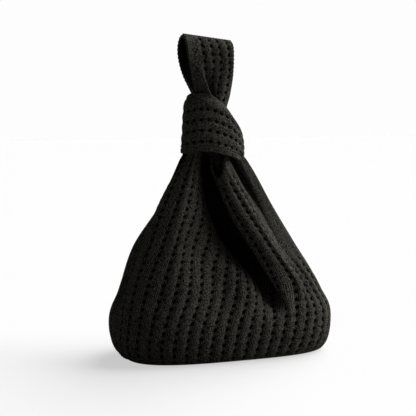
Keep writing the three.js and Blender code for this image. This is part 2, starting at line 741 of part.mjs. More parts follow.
// Edging along each side of the loop, from the front gather over the top to the back gather
function loopEdging(side) {
  const limb = spaced(0.3, 1, EDGING_STEPS / 2).map((part) => {
    const outer = loopOuter.getPoint(part);
    const inner = loopInner.getPoint(1 - part);
    return outer.add(inner).multiplyScalar(0.5);
  });
  const arch = [...limb, ...limb.map((p) => new THREE.Vector2(-p.x, p.y)).reverse()];
  const path = arch.map((p) => {
    const across = side * (loopWidth(p.y) / 2 + EDGING_OFF + EDGING_DIAMETER / 2);
    return loopPoint(across, p.x, p.y);
  });
  const sections = edgingSections(path, () => new THREE.Vector3(1, 0, 0), false);
  return loftGeometry(sections);
}

addPiece("loop_left_edging", loopEdging(-1), edgingMaterial);
addPiece("loop_right_edging", loopEdging(1), edgingMaterial);

export default bag;
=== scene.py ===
"""Knitted knot bag: a soft eyelet-knit pouch whose short handle is looped round its long handle.

Sizes are in millimetres and turned to metres where a mesh is made. +Z is up, +X runs along the
pouch's width towards the short handle, and -Y is the front with the mouth.
"""

from __future__ import annotations

import logging
import math
from dataclasses import dataclass, field
from enum import Enum
from typing import Any, Sequence

import bpy
import numpy as np
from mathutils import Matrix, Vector

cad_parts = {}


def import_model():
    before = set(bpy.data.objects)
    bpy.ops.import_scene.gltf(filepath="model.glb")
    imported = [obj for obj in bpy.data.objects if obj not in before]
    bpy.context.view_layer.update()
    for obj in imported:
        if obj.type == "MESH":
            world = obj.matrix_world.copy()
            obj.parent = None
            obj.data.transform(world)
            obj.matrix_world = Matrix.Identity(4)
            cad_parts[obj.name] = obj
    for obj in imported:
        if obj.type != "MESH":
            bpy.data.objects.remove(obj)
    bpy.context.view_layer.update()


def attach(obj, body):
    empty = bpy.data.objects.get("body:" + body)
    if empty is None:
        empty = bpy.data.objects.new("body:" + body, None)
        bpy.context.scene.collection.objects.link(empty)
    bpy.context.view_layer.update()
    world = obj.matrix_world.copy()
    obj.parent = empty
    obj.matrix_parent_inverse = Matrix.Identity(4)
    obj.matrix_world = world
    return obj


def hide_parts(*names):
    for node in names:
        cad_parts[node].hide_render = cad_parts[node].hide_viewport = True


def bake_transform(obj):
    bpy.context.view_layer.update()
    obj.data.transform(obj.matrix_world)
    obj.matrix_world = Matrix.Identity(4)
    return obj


LOG = logging.getLogger("knot_bag")
MM = 0.001
KNIT_MAP = "knit"
EYELET_MARK = "eyelets"
# Share of painted shade at each point: full on the inner faces, partial in the pouch's deep fold,
# on its lobe and on the gathered core.
PAINTED_SHADE_MARK = "inside"
SHARP_ANGLE = math.radians(70)

Array = np.ndarray
Material = bpy.types.Material
NodeTree = bpy.types.NodeTree
Node = bpy.types.Node
Socket = bpy.types.NodeSocket
Piece = bpy.types.Object


class Slot(Enum):
    """The record's material slots."""

    KNIT = "black_knit"
    EDGING = "knit_edging"


class Side(Enum):
    """The way along Y that a limb of the long handle faces."""

    FRONT = -1.0
    BACK = 1.0


def smooth(value: Array | float, low: float, high: float) -> Array:
    """Rise smoothly from 0, where value is low or less, to 1, where it is high or more."""
    part = np.clip((np.asarray(value, float) - low) / (high - low), 0.0, 1.0)
    return part * part * (3.0 - 2.0 * part)


def mix(start: Array | float, end: Array | float, share: Array | float) -> Array | float:
    """Go a share of the way from start to end."""
    return start + (end - start) * share


def curve_through(
    stations: Sequence[float], values: Sequence[float] | Sequence[Sequence[float]], wanted: Array
) -> Array:
    """Follow a smooth curve through points given at rising stations.

    Args:
        stations: Where on the curve each point lies.
        values: The points, with any number of coordinates.
        wanted: Stations to read the curve at.

    Returns:
        One point for each wanted station.
    """
    at = np.asarray(stations, float)
    points = np.asarray(values, float).reshape(len(at), -1)
    slopes = np.gradient(points, at, axis=0)
    where = np.clip(np.asarray(wanted, float), at[0], at[-1])
    piece = np.clip(np.searchsorted(at, where, side="right") - 1, 0, len(at) - 2)
    span = at[piece + 1] - at[piece]
    t = ((where - at[piece]) / span)[..., None]
    rise = span[..., None] * slopes[piece]
    next_rise = span[..., None] * slopes[piece + 1]
    start = (2 * t**3 - 3 * t**2 + 1) * points[piece] + (t**3 - 2 * t**2 + t) * rise
    end = (3 * t**2 - 2 * t**3) * points[piece + 1] + (t**3 - t**2) * next_rise
    return start + end


def lengths_along(path: Array) -> Array:
    """Measure the length from a path's start to each of its points."""
    steps = np.linalg.norm(np.diff(path, axis=0), axis=-1)
    return np.concatenate([np.zeros((1, *steps.shape[1:])), np.cumsum(steps, axis=0)])


def even_path(path: Array, step: float) -> Array:
    """Space points evenly along a path.

    Args:
        path: Points along the path.
        step: Wanted distance between points.

    Returns:
        The new points.
    """
    lengths = lengths_along(path)
    count = max(2, int(round(lengths[-1] / step)))
    wanted = np.linspace(0.0, lengths[-1], count + 1)
    axes = range(path.shape[1])
    return np.stack([np.interp(wanted, lengths, path[:, axis]) for axis in axes], axis=-1)


def unit(vectors: Array) -> Array:
    """Scale vectors to length one."""
    return vectors / np.maximum(np.linalg.norm(vectors, axis=-1, keepdims=True), 1e-9)


def grid_normals(points: Array) -> Array:
    """Find the outward normals of a grid of points with rows going up and columns to the right.

    Args:
        points: Grid of points, rows by columns by three.

    Returns:
        A unit normal for each point.
    """
    up = np.gradient(points, axis=0)
    along = np.gradient(points, axis=1)
    return unit(np.cross(along, up))


def linear(code: str) -> tuple[float, float, float, float]:
    """Turn an sRGB hex colour to linear light.

    Args:
        code: Six hex digits after a hash.

    Returns:
        Red, green, blue and full alpha.
    """
    parts = [int(code[k : k + 2], 16) / 255 for k in (1, 3, 5)]
    red, green, blue = (c / 12.92 if c <= 0.04045 else ((c + 0.055) / 1.055) ** 2.4 for c in parts)
    return red, green, blue, 1.0


def add_node(
    tree: NodeTree,
    kind: str,
    settings: dict[str, Any] | None = None,
    inputs: dict[Any, Any] | None = None,
) -> Node:
    """Add a shader node.

    Args:
        tree: The material's or world's node tree.
        kind: The node's type.
        settings: Properties of the node by name.
        inputs: Values, or sockets to link from, by input name or number.

    Returns:
        The new node.
    """
    node = tree.nodes.new(kind)
    for name, value in (settings or {}).items():
        setattr(node, name, value)
    for name, value in (inputs or {}).items():
        if isinstance(value, Socket):
            tree.links.new(value, node.inputs[name])
        else:
            node.inputs[name].default_value = value
    return node


def shown_directly(tree: NodeTree) -> Socket:
    """Tell what the camera, a gloss or a clear surface shows from what only lights the bag.

    Args:
        tree: The material's or world's node tree.

    Returns:
        1 for what is shown and 0 for light.
    """
    path = add_node(tree, "ShaderNodeLightPath")
    shown = path.outputs["Is Camera Ray"]
    for ray in ("Is Glossy Ray", "Is Transmission Ray"):
        either = add_node(
            tree, "ShaderNodeMath", {"operation": "MAXIMUM"}, {0: shown, 1: path.outputs[ray]}
        )
        shown = either.outputs[0]
    return shown


@dataclass(frozen=True)
class KnitFinish:
    """Spun cotton knitted on fine needles: matt, softly hairy and unevenly toned, with the gaps
    between the stitches painted dark as shade.

    The stitches are drawn about twice as coarse as real ones, so that they show from where the bag
    is seen. The inner faces, the deep fold beside the ridge, the lobe and the knit gathered in the
    knot are painted darker as shade, and so are the eyelets and the grooves between the ribs.
    """

    name: str
    column_mm: float = 15.1
    eyelet_mm: float = 9.1
    yarn: str = "#5d5b54"
    worn: str = "#6b6961"
    # Near-black painted shade where the stitch relief is low, between the stitches.
    gap: str = "#0c0c0a"
    # Near-black painted shade at the bottom of each eyelet and in the grooves between the ribs.
    painted_hollow_shade: str = "#030303"
    # Near-black colour of the painted shade on the inner faces, in the deep fold, on the lobe and
    # on the core.
    painted_shade: str = "#0d0d0c"
    fuzz: str = "#8a8782"
    wales_per_column: float = 4.0
    rows_per_eyelet: float = 3.0
    stitch_slant: float = 2.2
    stitch_lift_mm: float = 1.2
    strand_crown: float = 0.45
    gap_shade_lift: tuple[float, float] = (0.8, 1.3)
    grain_mm: float = 0.9
    grain_rows: float = 0.6
    grain_lift: float = 0.6
    hair_mm: float = 0.6
    hair_lift: float = 0.35
    wander_mm: float = 5.0
    wander_rows: float = 1.4
    patch_mm: float = 60.0
    # Sizes and strength of the painted shade in the eyelets and in the grooves between the ribs.
    hole_mm: float = 2.25
    hole_grain_mm: float = 0.8
    hole_edge: tuple[float, float] = (0.65, 1.3)
    groove_mm: float = 1.5
    groove_edge: tuple[float, float] = (0.3, 1.4)
    groove_shade: float = 0.25

    def build(self) -> Material:
        """Make the material.

        Returns:
            A node material that reads the knit's own map, in columns and eyelet rows.
        """
        material = bpy.data.materials.new(self.name)
        material.use_nodes = True
        tree = material.node_tree
        tree.nodes.clear()
        knit = add_node(tree, "ShaderNodeUVMap", {"uv_map": KNIT_MAP})
        axes = add_node(tree, "ShaderNodeSeparateXYZ", inputs={0: knit.outputs[0]})
        noises = self._noises(tree)
        lift = self._stitches(tree, axes.outputs[0], axes.outputs[1], noises)
        bump = add_node(
            tree,
            "ShaderNodeBump",
            inputs={"Strength": 1.0, "Distance": self.stitch_lift_mm * MM, "Height": lift},
        )
        # Partly painted shade and partly real tone: low parts of the stitch relief are painted
        # towards the gap colour, and the grain and hair noise in the relief make the yarn's tone
        # uneven.
        shade = add_node(
            tree,
            "ShaderNodeMapRange",
            {"interpolation_type": "SMOOTHSTEP"},
            {"Value": lift, "From Min": self.gap_shade_lift[0], "From Max": self.gap_shade_lift[1]},
        )
        thread = add_node(
            tree,
            "ShaderNodeMix",
            {"data_type": "RGBA"},
            {0: noises["patches"], "A": linear(self.yarn), "B": linear(self.worn)},
        )
        stitch = add_node(
            tree,
            "ShaderNodeMix",
            {"data_type": "RGBA"},
            {0: shade.outputs[0], "A": linear(self.gap), "B": thread.outputs["Result"]},
        )
        face = self._with_eyelets(
            tree, axes.outputs[0], axes.outputs[1], noises["grain"], stitch.outputs["Result"]
        )
        # Painted shade: darken towards the near-black colour by the painted shade mark.
        inside = add_node(tree, "ShaderNodeAttribute", {"attribute_name": PAINTED_SHADE_MARK})
        surface = add_node(
            tree,
            "ShaderNodeMix",
            {"data_type": "RGBA"},
            {0: inside.outputs["Fac"], "A": face, "B": linear(self.painted_shade)},
        )
        body = add_node(
            tree,
            "ShaderNodeBsdfPrincipled",
            inputs={
                "Base Color": surface.outputs["Result"],
                "Roughness": 0.92,
                "IOR": 1.45,
                "Specular IOR Level": 0.02,
                "Sheen Weight": 0.01,
                "Sheen Roughness": 0.5,
                "Sheen Tint": linear(self.fuzz),
                "Normal": bump.outputs[0],
            },
        )
        add_node(tree, "ShaderNodeOutputMaterial", inputs={"Surface": body.outputs[0]})
        return material

    def _noises(self, tree: NodeTree) -> dict[str, Socket]:
        """Lay even noises whose spots have real sizes.

        Args:
            tree: The material's node tree.

        Returns:
            The noises, by what they make uneven.
        """
        place = add_node(tree, "ShaderNodeTexCoord").outputs["Object"]
        noises = {}
        for name, spot_mm, detail in (
            ("grain", self.grain_mm, 2.0),
            ("hair", self.hair_mm, 2.0),
            ("wander", self.wander_mm, 2.0),
            ("patches", self.patch_mm, 3.0),
        ):
            scale = 1 / (2 * spot_mm * MM)
            noise = add_node(
                tree,
                "ShaderNodeTexNoise",
                inputs={"Vector": place, "Scale": scale, "Detail": detail, "Roughness": 0.6},
            )
            even = add_node(
                tree,
                "ShaderNodeMapRange",
                inputs={"Value": noise.outputs[0], "From Min": 0.3, "From Max": 0.7},
            )
            noises[name] = even.outputs[0]
        return noises

    def _stitches(
        self,
        tree: NodeTree,
        column: Socket,
        row: Socket,
        noises: dict[str, Socket],
    ) -> Socket:
        """Raise the stitches: a wale is a chain of Vs, so its rows slant from its middle.

        Args:
            tree: The material's node tree.
            column: The knit map's column.
            row: The knit map's eyelet row.
            noises: The noises by name.

        Returns:
            The height of the yarn, from 0 to about 1.5.
        """
        kind = "ShaderNodeMath"
        wales = self.wales_per_column
        wale = add_node(tree, kind, {"operation": "MULTIPLY"}, {0: column, 1: wales})
        fold = add_node(tree, kind, {"operation": "PINGPONG"}, {0: wale.outputs[0], 1: 0.5})
        leg = fold.outputs[0]
        steep = add_node(tree, kind, {"operation": "MULTIPLY"}, {0: leg, 1: self.stitch_slant})
        drawn = steep.outputs[0]
        for source, weight in (
            (row, self.rows_per_eyelet),
            (noises["wander"], self.wander_rows),
            (noises["grain"], self.grain_rows),
        ):
            added = add_node(
                tree, kind, {"operation": "MULTIPLY_ADD"}, {0: source, 1: weight, 2: drawn}
            )
            drawn = added.outputs[0]
        across = add_node(tree, kind, {"operation": "PINGPONG"}, {0: drawn, 1: 0.5})
        turn = add_node(tree, kind, {"operation": "MULTIPLY"}, {0: leg, 1: 2 * math.pi})
        crest = add_node(tree, kind, {"operation": "SINE"}, {0: turn.outputs[0]})
        lift = across.outputs[0]
        for source, weight in (
            (crest.outputs[0], self.strand_crown),
            (noises["grain"], self.grain_lift),
            (noises["hair"], self.hair_lift),
        ):
            added = add_node(
                tree, kind, {"operation": "MULTIPLY_ADD"}, {0: source, 1: weight, 2: lift}
            )
            lift = added.outputs[0]
        return lift

    def _with_eyelets(
        self,
        tree: NodeTree,
        column: Socket,
        row: Socket,
        grain: Socket,
        surface: Socket,
    ) -> Socket:
        """Paint shade into the grooves and into the bottom of each eyelet, which lies at whole
        columns and rows.

        Args:
            tree: The material's node tree.
            column: The knit map's column.
            row: The knit map's eyelet row.
            grain: Uneven yarn, which makes the eyelets uneven.
            surface: The yarn's colour.

        Returns:
            The colour with painted shade in the grooves and eyelets.
        """
        kind = "ShaderNodeMath"
        mark = add_node(tree, "ShaderNodeAttribute", {"attribute_name": EYELET_MARK}).outputs["Fac"]
        sizes = []
        for socket, pitch in ((column, self.column_mm), (row, self.eyelet_mm)):
            off = add_node(tree, kind, {"operation": "PINGPONG"}, {0: socket, 1: 0.5})
            size = add_node(tree, kind, {"operation": "MULTIPLY"}, {0: off.outputs[0], 1: pitch})
            sizes.append(size.outputs[0])
        away = add_node(tree, "ShaderNodeCombineXYZ", inputs={0: sizes[0], 1: sizes[1]})
        radius = add_node(
            tree, "ShaderNodeVectorMath", {"operation": "LENGTH"}, {0: away.outputs[0]}
        )
        uneven = add_node(
            tree,
            kind,
            {"operation": "MULTIPLY_ADD"},
            {0: grain, 1: -self.hole_grain_mm, 2: radius.outputs["Value"]},
        )
        groove = [part * self.groove_mm for part in self.groove_edge]
        hole = [part * self.hole_mm - self.hole_grain_mm / 2 for part in self.hole_edge]
        for distance, (near, far), strength in (
            (sizes[0], groove, self.groove_shade),
            (uneven.outputs[0], hole, 1.0),
        ):
            inside = add_node(
                tree,
                "ShaderNodeMapRange",
                {"interpolation_type": "SMOOTHSTEP"},
                {
                    "Value": distance,
                    "From Min": near,
                    "From Max": far,
                    "To Min": strength,
                    "To Max": 0.0,
                },
            )
            here = add_node(tree, kind, {"operation": "MULTIPLY"}, {0: inside.outputs[0], 1: mark})
            darker = add_node(
                tree,
                "ShaderNodeMix",
                {"data_type": "RGBA"},
                {0: here.outputs[0], "A": surface, "B": linear(self.painted_hollow_shade)},
            )
            surface = darker.outputs["Result"]
        return surface


@dataclass(frozen=True)
class PaleFloorFinish:
    """Matt white paper sweep: even and neutral, so that it only shows the soft shadow."""

    name: str = "matt_white_paper"
    paper: str = "#a0a0a0"
    glow: str = "#c5c5c5"
    bounce: str = "#8b8b8b"

    def build(self) -> Material:
        """Make the material.

        Returns:
            A matt white to the eye, which throws little light back at the bag.
        """
        material = bpy.data.materials.new(self.name)
        material.use_nodes = True
        tree = material.node_tree
        tree.nodes.clear()
        shown = shown_directly(tree)
        lit = add_node(tree, "ShaderNodeBsdfDiffuse", inputs={"Color": linear(self.paper)})
        glow = add_node(
            tree, "ShaderNodeEmission", inputs={"Color": linear(self.glow), "Strength": 1.0}
        )
        white = add_node(
            tree, "ShaderNodeAddShader", inputs={0: lit.outputs[0], 1: glow.outputs[0]}
        )
        dull = add_node(tree, "ShaderNodeBsdfDiffuse", inputs={"Color": linear(self.bounce)})
        both = add_node(
            tree, "ShaderNodeMixShader", inputs={0: shown, 1: dull.outputs[0], 2: white.outputs[0]}
        )
        add_node(tree, "ShaderNodeOutputMaterial", inputs={"Surface": both.outputs[0]})
        return material


class MeshMaker:
    """Makes closed sheets and tubes from grids of points in millimetres."""

    @staticmethod
    def object_from(
        name: str,
        points: Array,
        faces: list[tuple[int, ...]],
        knit: Array,
        marks: dict[str, Array],
        material: Material,
    ) -> Piece:
        """Make an object with the knit's map and marks.

        Args:
            name: The piece's name.
            points: Points in millimetres, one row each.
            faces: Point numbers of each face.
            knit: Column and eyelet row of each point.
            marks: For each mark by name, 1 at the points that have it and 0 at the others.
            material: The finish.

        Returns:
            The object, linked to the scene.
        """
        mesh = bpy.data.meshes.new(name)
        mesh.from_pydata((points * MM).tolist(), [], faces)
        loops = np.zeros(len(mesh.loops), np.int32)
        mesh.loops.foreach_get("vertex_index", loops)
        layer = mesh.uv_layers.new(name=KNIT_MAP)
        layer.data.foreach_set("uv", knit[loops].astype(np.float32).ravel())
        for mark, shares in marks.items():
            values = mesh.attributes.new(mark, "FLOAT", "POINT")
            values.data.foreach_set("value", shares.astype(np.float32))
        mesh.materials.append(material)
        mesh.shade_smooth()
        mesh.set_sharp_from_angle(angle=SHARP_ANGLE)
        mesh.validate()
        piece = bpy.data.objects.new(name, mesh)
        bpy.context.scene.collection.objects.link(piece)
        return piece

    @classmethod
    def sheet(
        cls,
        name: str,
        outer: Array,
        inner: Array,
        knit: Array,
        mark: Array,
        material: Material,
        painted_shade: Array | None = None,
        tops: Array | None = None,
        ring: bool = False,
    ) -> Piece:
        """Make a closed sheet between an outer and an inner grid.

        Args:
            name: The piece's name.
            outer: Outer points, rows by columns by three.
            inner: Inner points of the same shape.
            knit: Column and eyelet row of each point of a grid.
            mark: Eyelet mark of each point of a grid.
            material: The finish.
            painted_shade: How much painted shade darkens each outer point, from 0 to 1; the inner
                points are all painted dark.
            tops: The last row that each column uses, where columns end at different rows.
            ring: Whether the last column joins the first.

        Returns:
            The object.
        """
        rows, columns = outer.shape[:2]
        tops = np.full(columns, rows - 1) if tops is None else tops
        row_of = np.minimum(np.arange(rows)[:, None], tops[None, :])
        number = row_of * columns + np.arange(columns)[None, :]
        if ring:
            number = np.concatenate([number, number[:, :1]], axis=1)
        count = rows * columns
        quads = cls._between(number[:-1], number[1:])
        low, high = number[0], number[-1]
        walls = [cls._between(low + count, low), cls._between(high, high + count)]
        if not ring:
            first, last = number[:, 0], number[:, -1]
            walls.append(cls._between(first, first + count))
            walls.append(cls._between(last + count, last))
        faces = cls._clean(np.concatenate([quads, quads[:, ::-1] + count, *walls]))
        used, faces = cls._used(faces, 2 * count)
        points = np.concatenate([outer.reshape(-1, 3), inner.reshape(-1, 3)])[used]
        maps = np.concatenate([knit.reshape(-1, 2)] * 2)[used]
        none, full = np.zeros(count), np.ones(count)
        # Painted shade: the outer points take the given share, and every inner point is painted
        # dark.
        turned = none if painted_shade is None else painted_shade.ravel()
        marks = {
            EYELET_MARK: np.concatenate([mark.ravel(), none])[used],
            PAINTED_SHADE_MARK: np.concatenate([turned, full])[used],
        }
        return cls.object_from(name, points, faces, maps, marks, material)

    @classmethod
    def tube(
        cls,
        name: str,
        rings: Array,
        knit: Array,
        material: Material,
        closed: bool = False,
        painted_shade: float = 0.0,
    ) -> Piece:
        """Make a tube through rings of points, capped where it is open.

        Args:
            name: The piece's name.
            rings: Rings along the tube, rings by points by three.
            knit: Column and eyelet row of each point.
            material: The finish.
            closed: Whether the last ring joins the first.
            painted_shade: How much painted shade darkens the tube, from 0 to 1.

        Returns:
            The object.
        """
        length, sides = rings.shape[:2]
        number = np.arange(length * sides).reshape(length, sides)
        number = np.concatenate([number, number[:, :1]], axis=1)
        if closed:
            number = np.concatenate([number, number[:1]], axis=0)
        faces = [tuple(quad) for quad in cls._between(number[:-1], number[1:]).tolist()]
        if not closed:
            faces.append(tuple(range(sides))[::-1])
            faces.append(tuple(range((length - 1) * sides, length * sides)))
        marks = {PAINTED_SHADE_MARK: np.full(length * sides, painted_shade)}
        points, maps = rings.reshape(-1, 3), knit.reshape(-1, 2)
        return cls.object_from(name, points, faces, maps, marks, material)

    @staticmethod
    def _between(low: Array, high: Array) -> Array:
        """Span four-cornered faces between two runs of point numbers, or between pairs of rows."""
        corners = [low[..., :-1], low[..., 1:], high[..., 1:], high[..., :-1]]
        return np.stack(corners, axis=-1).reshape(-1, 4)

    @staticmethod
    def _clean(quads: Array) -> list[tuple[int, ...]]:
        """Drop repeated corners, and faces with no area.

        Args:
            quads: Four point numbers for each face.

        Returns:
            The faces that are left, with three or four corners.
        """
        ordered = np.sort(quads, axis=1)
        repeated = (np.diff(ordered, axis=1) == 0).sum(axis=1)
        faces = [tuple(q) for q in quads[repeated == 0].tolist()]
        for quad in quads[repeated == 1].tolist():
            faces.append(tuple(dict.fromkeys(quad)))
        return faces

    @staticmethod
    def _used(faces: list[tuple[int, ...]], count: int) -> tuple[Array, list[tuple[int, ...]]]:
        """Keep only the points that faces use.

        Args:
            faces: Faces as point numbers.
            count: How many points there are.

        Returns:
            The used points' old numbers, and the faces with new numbers.
        """
        used = np.unique(np.fromiter((k for face in faces for k in face), dtype=np.int64))
        new = np.zeros(count, np.int64)
        new[used] = np.arange(len(used))
        return used, [tuple(int(new[k]) for k in face) for face in faces]


@dataclass(frozen=True)
class KnitRelief:
    """The knit's relief: rounded ribs, with a row of eyelets in each groove between them."""

    column_pitch: float
    eyelet_pitch: float
    rib_lift: float = 1.5
    rib_power: float = 3.0
    plain_share: float = 0.35
    least_crowd: float = 0.2
    pit_depth: float = 3.0
    pit_radius: float = 2.0

    def lift(self, column: Array, row: Array, local_pitch: Array, mark: Array) -> Array:
        """Find how far the knit stands out.

        Args:
            column: Column number of each point.
            row: Eyelet row of each point.
            local_pitch: Width of a column there.
            mark: 1 in eyelet knit and 0 in plain knit.

        Returns:
            Millimetres outward.
        """
        crowd = np.clip(local_pitch / self.column_pitch, self.least_crowd, 1.0)
        rib = 1 - np.abs(np.cos(math.pi * column)) ** self.rib_power
        across = (np.mod(column + 0.5, 1.0) - 0.5) * local_pitch
        along = (np.mod(row + 0.5, 1.0) - 0.5) * self.eyelet_pitch
        pit = np.exp(-((across / self.pit_radius) ** 2 + (along / self.pit_radius) ** 2))
        ribs = self.rib_lift * (rib - 0.5) * mix(self.plain_share, 1.0, mark)
        return crowd * (ribs - mark * self.pit_depth * pit)


@dataclass(frozen=True)
class Binding:
    """A linked edge or seam: a soft cord of chained stitches."""

    half_width: float
    half_height: float
    stitch_pitch: float = 3.2
    stitch_depth: float = 0.18
    sides: int = 10
    turn_per_column: float = 12.0
    row_pitch: float = 9.8

    def along(
        self, path: Array, normals: Array, step: float = 0.9, sunk: float = 0.0
    ) -> tuple[Array, Array]:
        """Lay the cord along an open path, with its rings spaced evenly.

        Args:
            path: Points along the path.
            normals: Directions out of the knit at each point.
            step: Distance between the rings.
            sunk: How far the cord lies under the path.

        Returns:
            Rings of points, and the column and eyelet row of each point.
        """
        joined = even_path(np.concatenate([path, normals], axis=-1), step)
        out = unit(joined[:, 3:])
        return self.rings(joined[:, :3] - sunk * out, out)

    def rings(self, path: Array, normals: Array, closed: bool = False) -> tuple[Array, Array]:
        """Lay the cord along a path.

        Args:
            path: Points along the middle of the cord.
            normals: Directions out of the knit at each point.
            closed: Whether the path returns to its start.

        Returns:
            Rings of points, and the column and eyelet row of each point.
        """
        if closed:
            ahead, behind = np.roll(path, -1, axis=0), np.roll(path, 1, axis=0)
            tangent = unit(ahead - behind)
        else:
            tangent = unit(np.gradient(path, axis=0))
        across = unit(np.cross(tangent, normals))
        out = np.cross(across, tangent)
        length = lengths_along(path)
        swell = 1 + self.stitch_depth * np.cos(2 * math.pi * length / self.stitch_pitch)
        angles = np.linspace(0.0, 2 * math.pi, self.sides, endpoint=False)
        wide = self.half_width * np.cos(angles)[None, :, None] * across[:, None, :]
        high = self.half_height * np.sin(angles)[None, :, None] * out[:, None, :]
        rings = path[:, None, :] + swell[:, None, None] * (wide + high)
        column = 0.5 + angles[None, :] / self.turn_per_column
        row = length[:, None] / self.row_pitch
        return rings, np.stack(np.broadcast_arrays(column, row), axis=-1)


@dataclass(frozen=True)
class FoldLine:
    """A line up the pouch that a fold follows.

    shares are shares of the knitted round at the belly and at each level above it. widths and
    depths are shares of the pouch's half width and half depth at the levels above the belly.
    """

    name: str
    shares: tuple[float, ...]
    widths: tuple[float, ...]
    depths: tuple[float, ...]

    @classmethod
    def upright(
        cls, name: str, share: float, widths: tuple[float, ...], depths: tuple[float, ...]
    ) -> FoldLine:
        """Make a line that stays at one share of the round."""
        return cls(name, (share,) * (len(widths) + 1), widths, depths)


@dataclass(frozen=True)
class Mouth:
    """A dip in the pouch's rim: its middle and half width as shares of the round, and its drop."""

    middle: float
    reach: float
    drop: float

    def off(self, shares: Array) -> Array:
        """Measure how far shares of the round lie from the middle, 1 being the mouth's end."""
        return np.abs(np.mod(shares - self.middle + 0.5, 1.0) - 0.5) / self.reach


@dataclass
class PouchShape:
    """The pouch's outer face: a rounded foot, a belly, and sides gathered up into the knot."""

    belly_width: float = 262.0
    belly_depth: float = 140.0
    belly_height: float = 36.0
    base_inset: float = 16.0
    base_shift: float = 2.0
    base_forward: float = 2.0
    corner_power: float = 3.0
    neck_height: float = 230.0
    neck_width: float = 63.0
    neck_depth: float = 42.0
    neck_lean: float = -11.0
    gather_power: float = 1.2
    floor_lift: float = 0.5
    fold_start: float = 0.2
    tuck_height: float = 246.0
    tuck_rows: int = 8
    tuck_reach: float = 0.35
    mouth_power: float = 1.4
    mouth_flare: float = 60.0
    front_mouth: Mouth = Mouth(0.32, 0.064, 28.0)
    back_mouth: Mouth = Mouth(0.745, 0.06, 16.0)
    # Where the fold's painted shade falls in from the valley's edge, climbs out towards the ridge
    # and starts up the pouch.
    fold_fall: tuple[float, float] = (0.0, 0.6)
    fold_climb: tuple[float, float] = (0.4, 1.0)
    fold_rise: tuple[float, float] = (0.1, 0.3)
    levels: tuple[float, ...] = (0.0, 0.253, 0.485, 0.727, 0.97)
    fold_lines: tuple[FoldLine, ...] = (
        FoldLine.upright(
            "left dent", 0.012, (-0.965, -0.982, -0.994, -1.015), (0.13, 0.08, 0.11, 0.2)
        ),
        FoldLine(
            "left shoulder",
            (0.042, 0.042, 0.048, 0.052, 0.056),
            (-1.015, -1.045, -1.078, -1.053),
            (-0.1, -0.136, -0.043, 0.07),
        ),
        FoldLine(
            "left corner",
            (0.073, 0.073, 0.071, 0.069, 0.069),
            (-0.952, -0.954, -0.989, -1.009),
            (-0.518, -0.461, -0.399, -0.299),
        ),
        FoldLine(
            "left crest",
            (0.115, 0.115, 0.102, 0.09, 0.0875),
            (-0.708, -0.749, -0.806, -0.854),
            (-0.867, -0.755, -0.668, -0.583),
        ),
        FoldLine(
            "left slope",
            (0.21, 0.198, 0.146, 0.119, 0.104),
            (-0.191, -0.464, -0.511, -0.659),
            (-0.852, -0.668, -0.594, -0.452),
        ),
        FoldLine(
            "valley edge",
            (0.293, 0.272, 0.196, 0.152, 0.125),
            (0.235, -0.03, -0.255, -0.454),
            (-0.7, -0.4, -0.2, -0.034),
        ),
        FoldLine(
            "valley left wall",
            (0.304, 0.287, 0.218, 0.184, 0.163),
            (0.31, 0.05, -0.14, -0.335),
            (-0.42, 0.04, 0.287, 0.26),
        ),
        FoldLine(
            "valley",
            (0.313, 0.3, 0.25, 0.228, 0.21),
            (0.39, 0.256, 0.114, -0.16),
            (-0.33, 0.5, 0.588, 0.477),
        ),
        FoldLine(
            "valley right wall",
            (0.321, 0.309, 0.272, 0.266, 0.265),
            (0.45, 0.36, 0.187, -0.074),
            (-0.51, 0.008, 0.11, 0.185),
        ),
        FoldLine(
            "ridge side",
            (0.329, 0.317, 0.294, 0.294, 0.298),
            (0.443, 0.32, 0.11, -0.188),
            (-0.743, -0.418, -0.28, -0.136),
        ),
        FoldLine(
            "ridge left",
            (0.339, 0.326, 0.32, 0.322, 0.331),
            (0.4, 0.235, 0.01, -0.1),
            (-0.87, -0.9, -0.79, -0.7),
        ),
        FoldLine(
            "ridge right",
            (0.365, 0.358, 0.36, 0.363, 0.37),
            (0.642, 0.5, 0.373, 0.2),
            (-0.937, -1.094, -0.994, -0.9),
        ),
        FoldLine(
            "crest",
            (0.387, 0.387, 0.392, 0.392, 0.392),
            (0.711, 0.616, 0.549, 0.44),
            (-0.879, -0.89, -0.753, -0.6),
        ),
        FoldLine(
            "crease",
            (0.401, 0.401, 0.408, 0.406, 0.406),
            (0.773, 0.663, 0.638, 0.576),
            (-0.8, -0.76, -0.5, 0.055),
        ),
        FoldLine(
            "right lobe front",
            (0.417, 0.415, 0.42, 0.42, 0.42),
            (0.815, 0.714, 0.713, 0.664),
            (-0.793, -0.717, -0.564, -0.482),
        ),
        FoldLine(
            "right lobe side",
            (0.447, 0.445, 0.45, 0.45, 0.45),
            (0.941, 0.919, 0.948, 1.07),
            (-0.652, -0.552, -0.45, -0.423),
        ),
        FoldLine.upright(
            "right side", 0.5, (1.024, 1.005, 1.003, 1.061), (0.05, 0.02, 0.056, 0.136)
        ),
        FoldLine.upright(
            "back right", 0.57, (0.898, 0.869, 0.841, 0.848), (0.728, 0.733, 0.666, 0.636)
        ),
        FoldLine.upright(
            "back right slope", 0.65, (0.486, 0.462, 0.451, 0.455), (0.959, 0.916, 0.916, 0.909)
        ),
        FoldLine.upright(
            "back valley", 0.745, (0.02, 0.054, 0.045, 0.03), (0.9, 0.92, 0.94, 0.96)
        ),
        FoldLine.upright(
            "back left slope", 0.84, (-0.474, -0.376, -0.361, -0.394), (0.959, 0.916, 0.916, 0.909)
        ),
        FoldLine.upright(
            "back left", 0.925, (-0.86, -0.851, -0.783, -0.788), (0.728, 0.774, 0.722, 0.682)
        ),
        FoldLine.upright(
            "left bulge", 0.98, (-1.012, -1.055, -0.961, -0.985), (0.331, 0.367, 0.417, 0.46)
        ),
    )
    table_steps: int = 2880

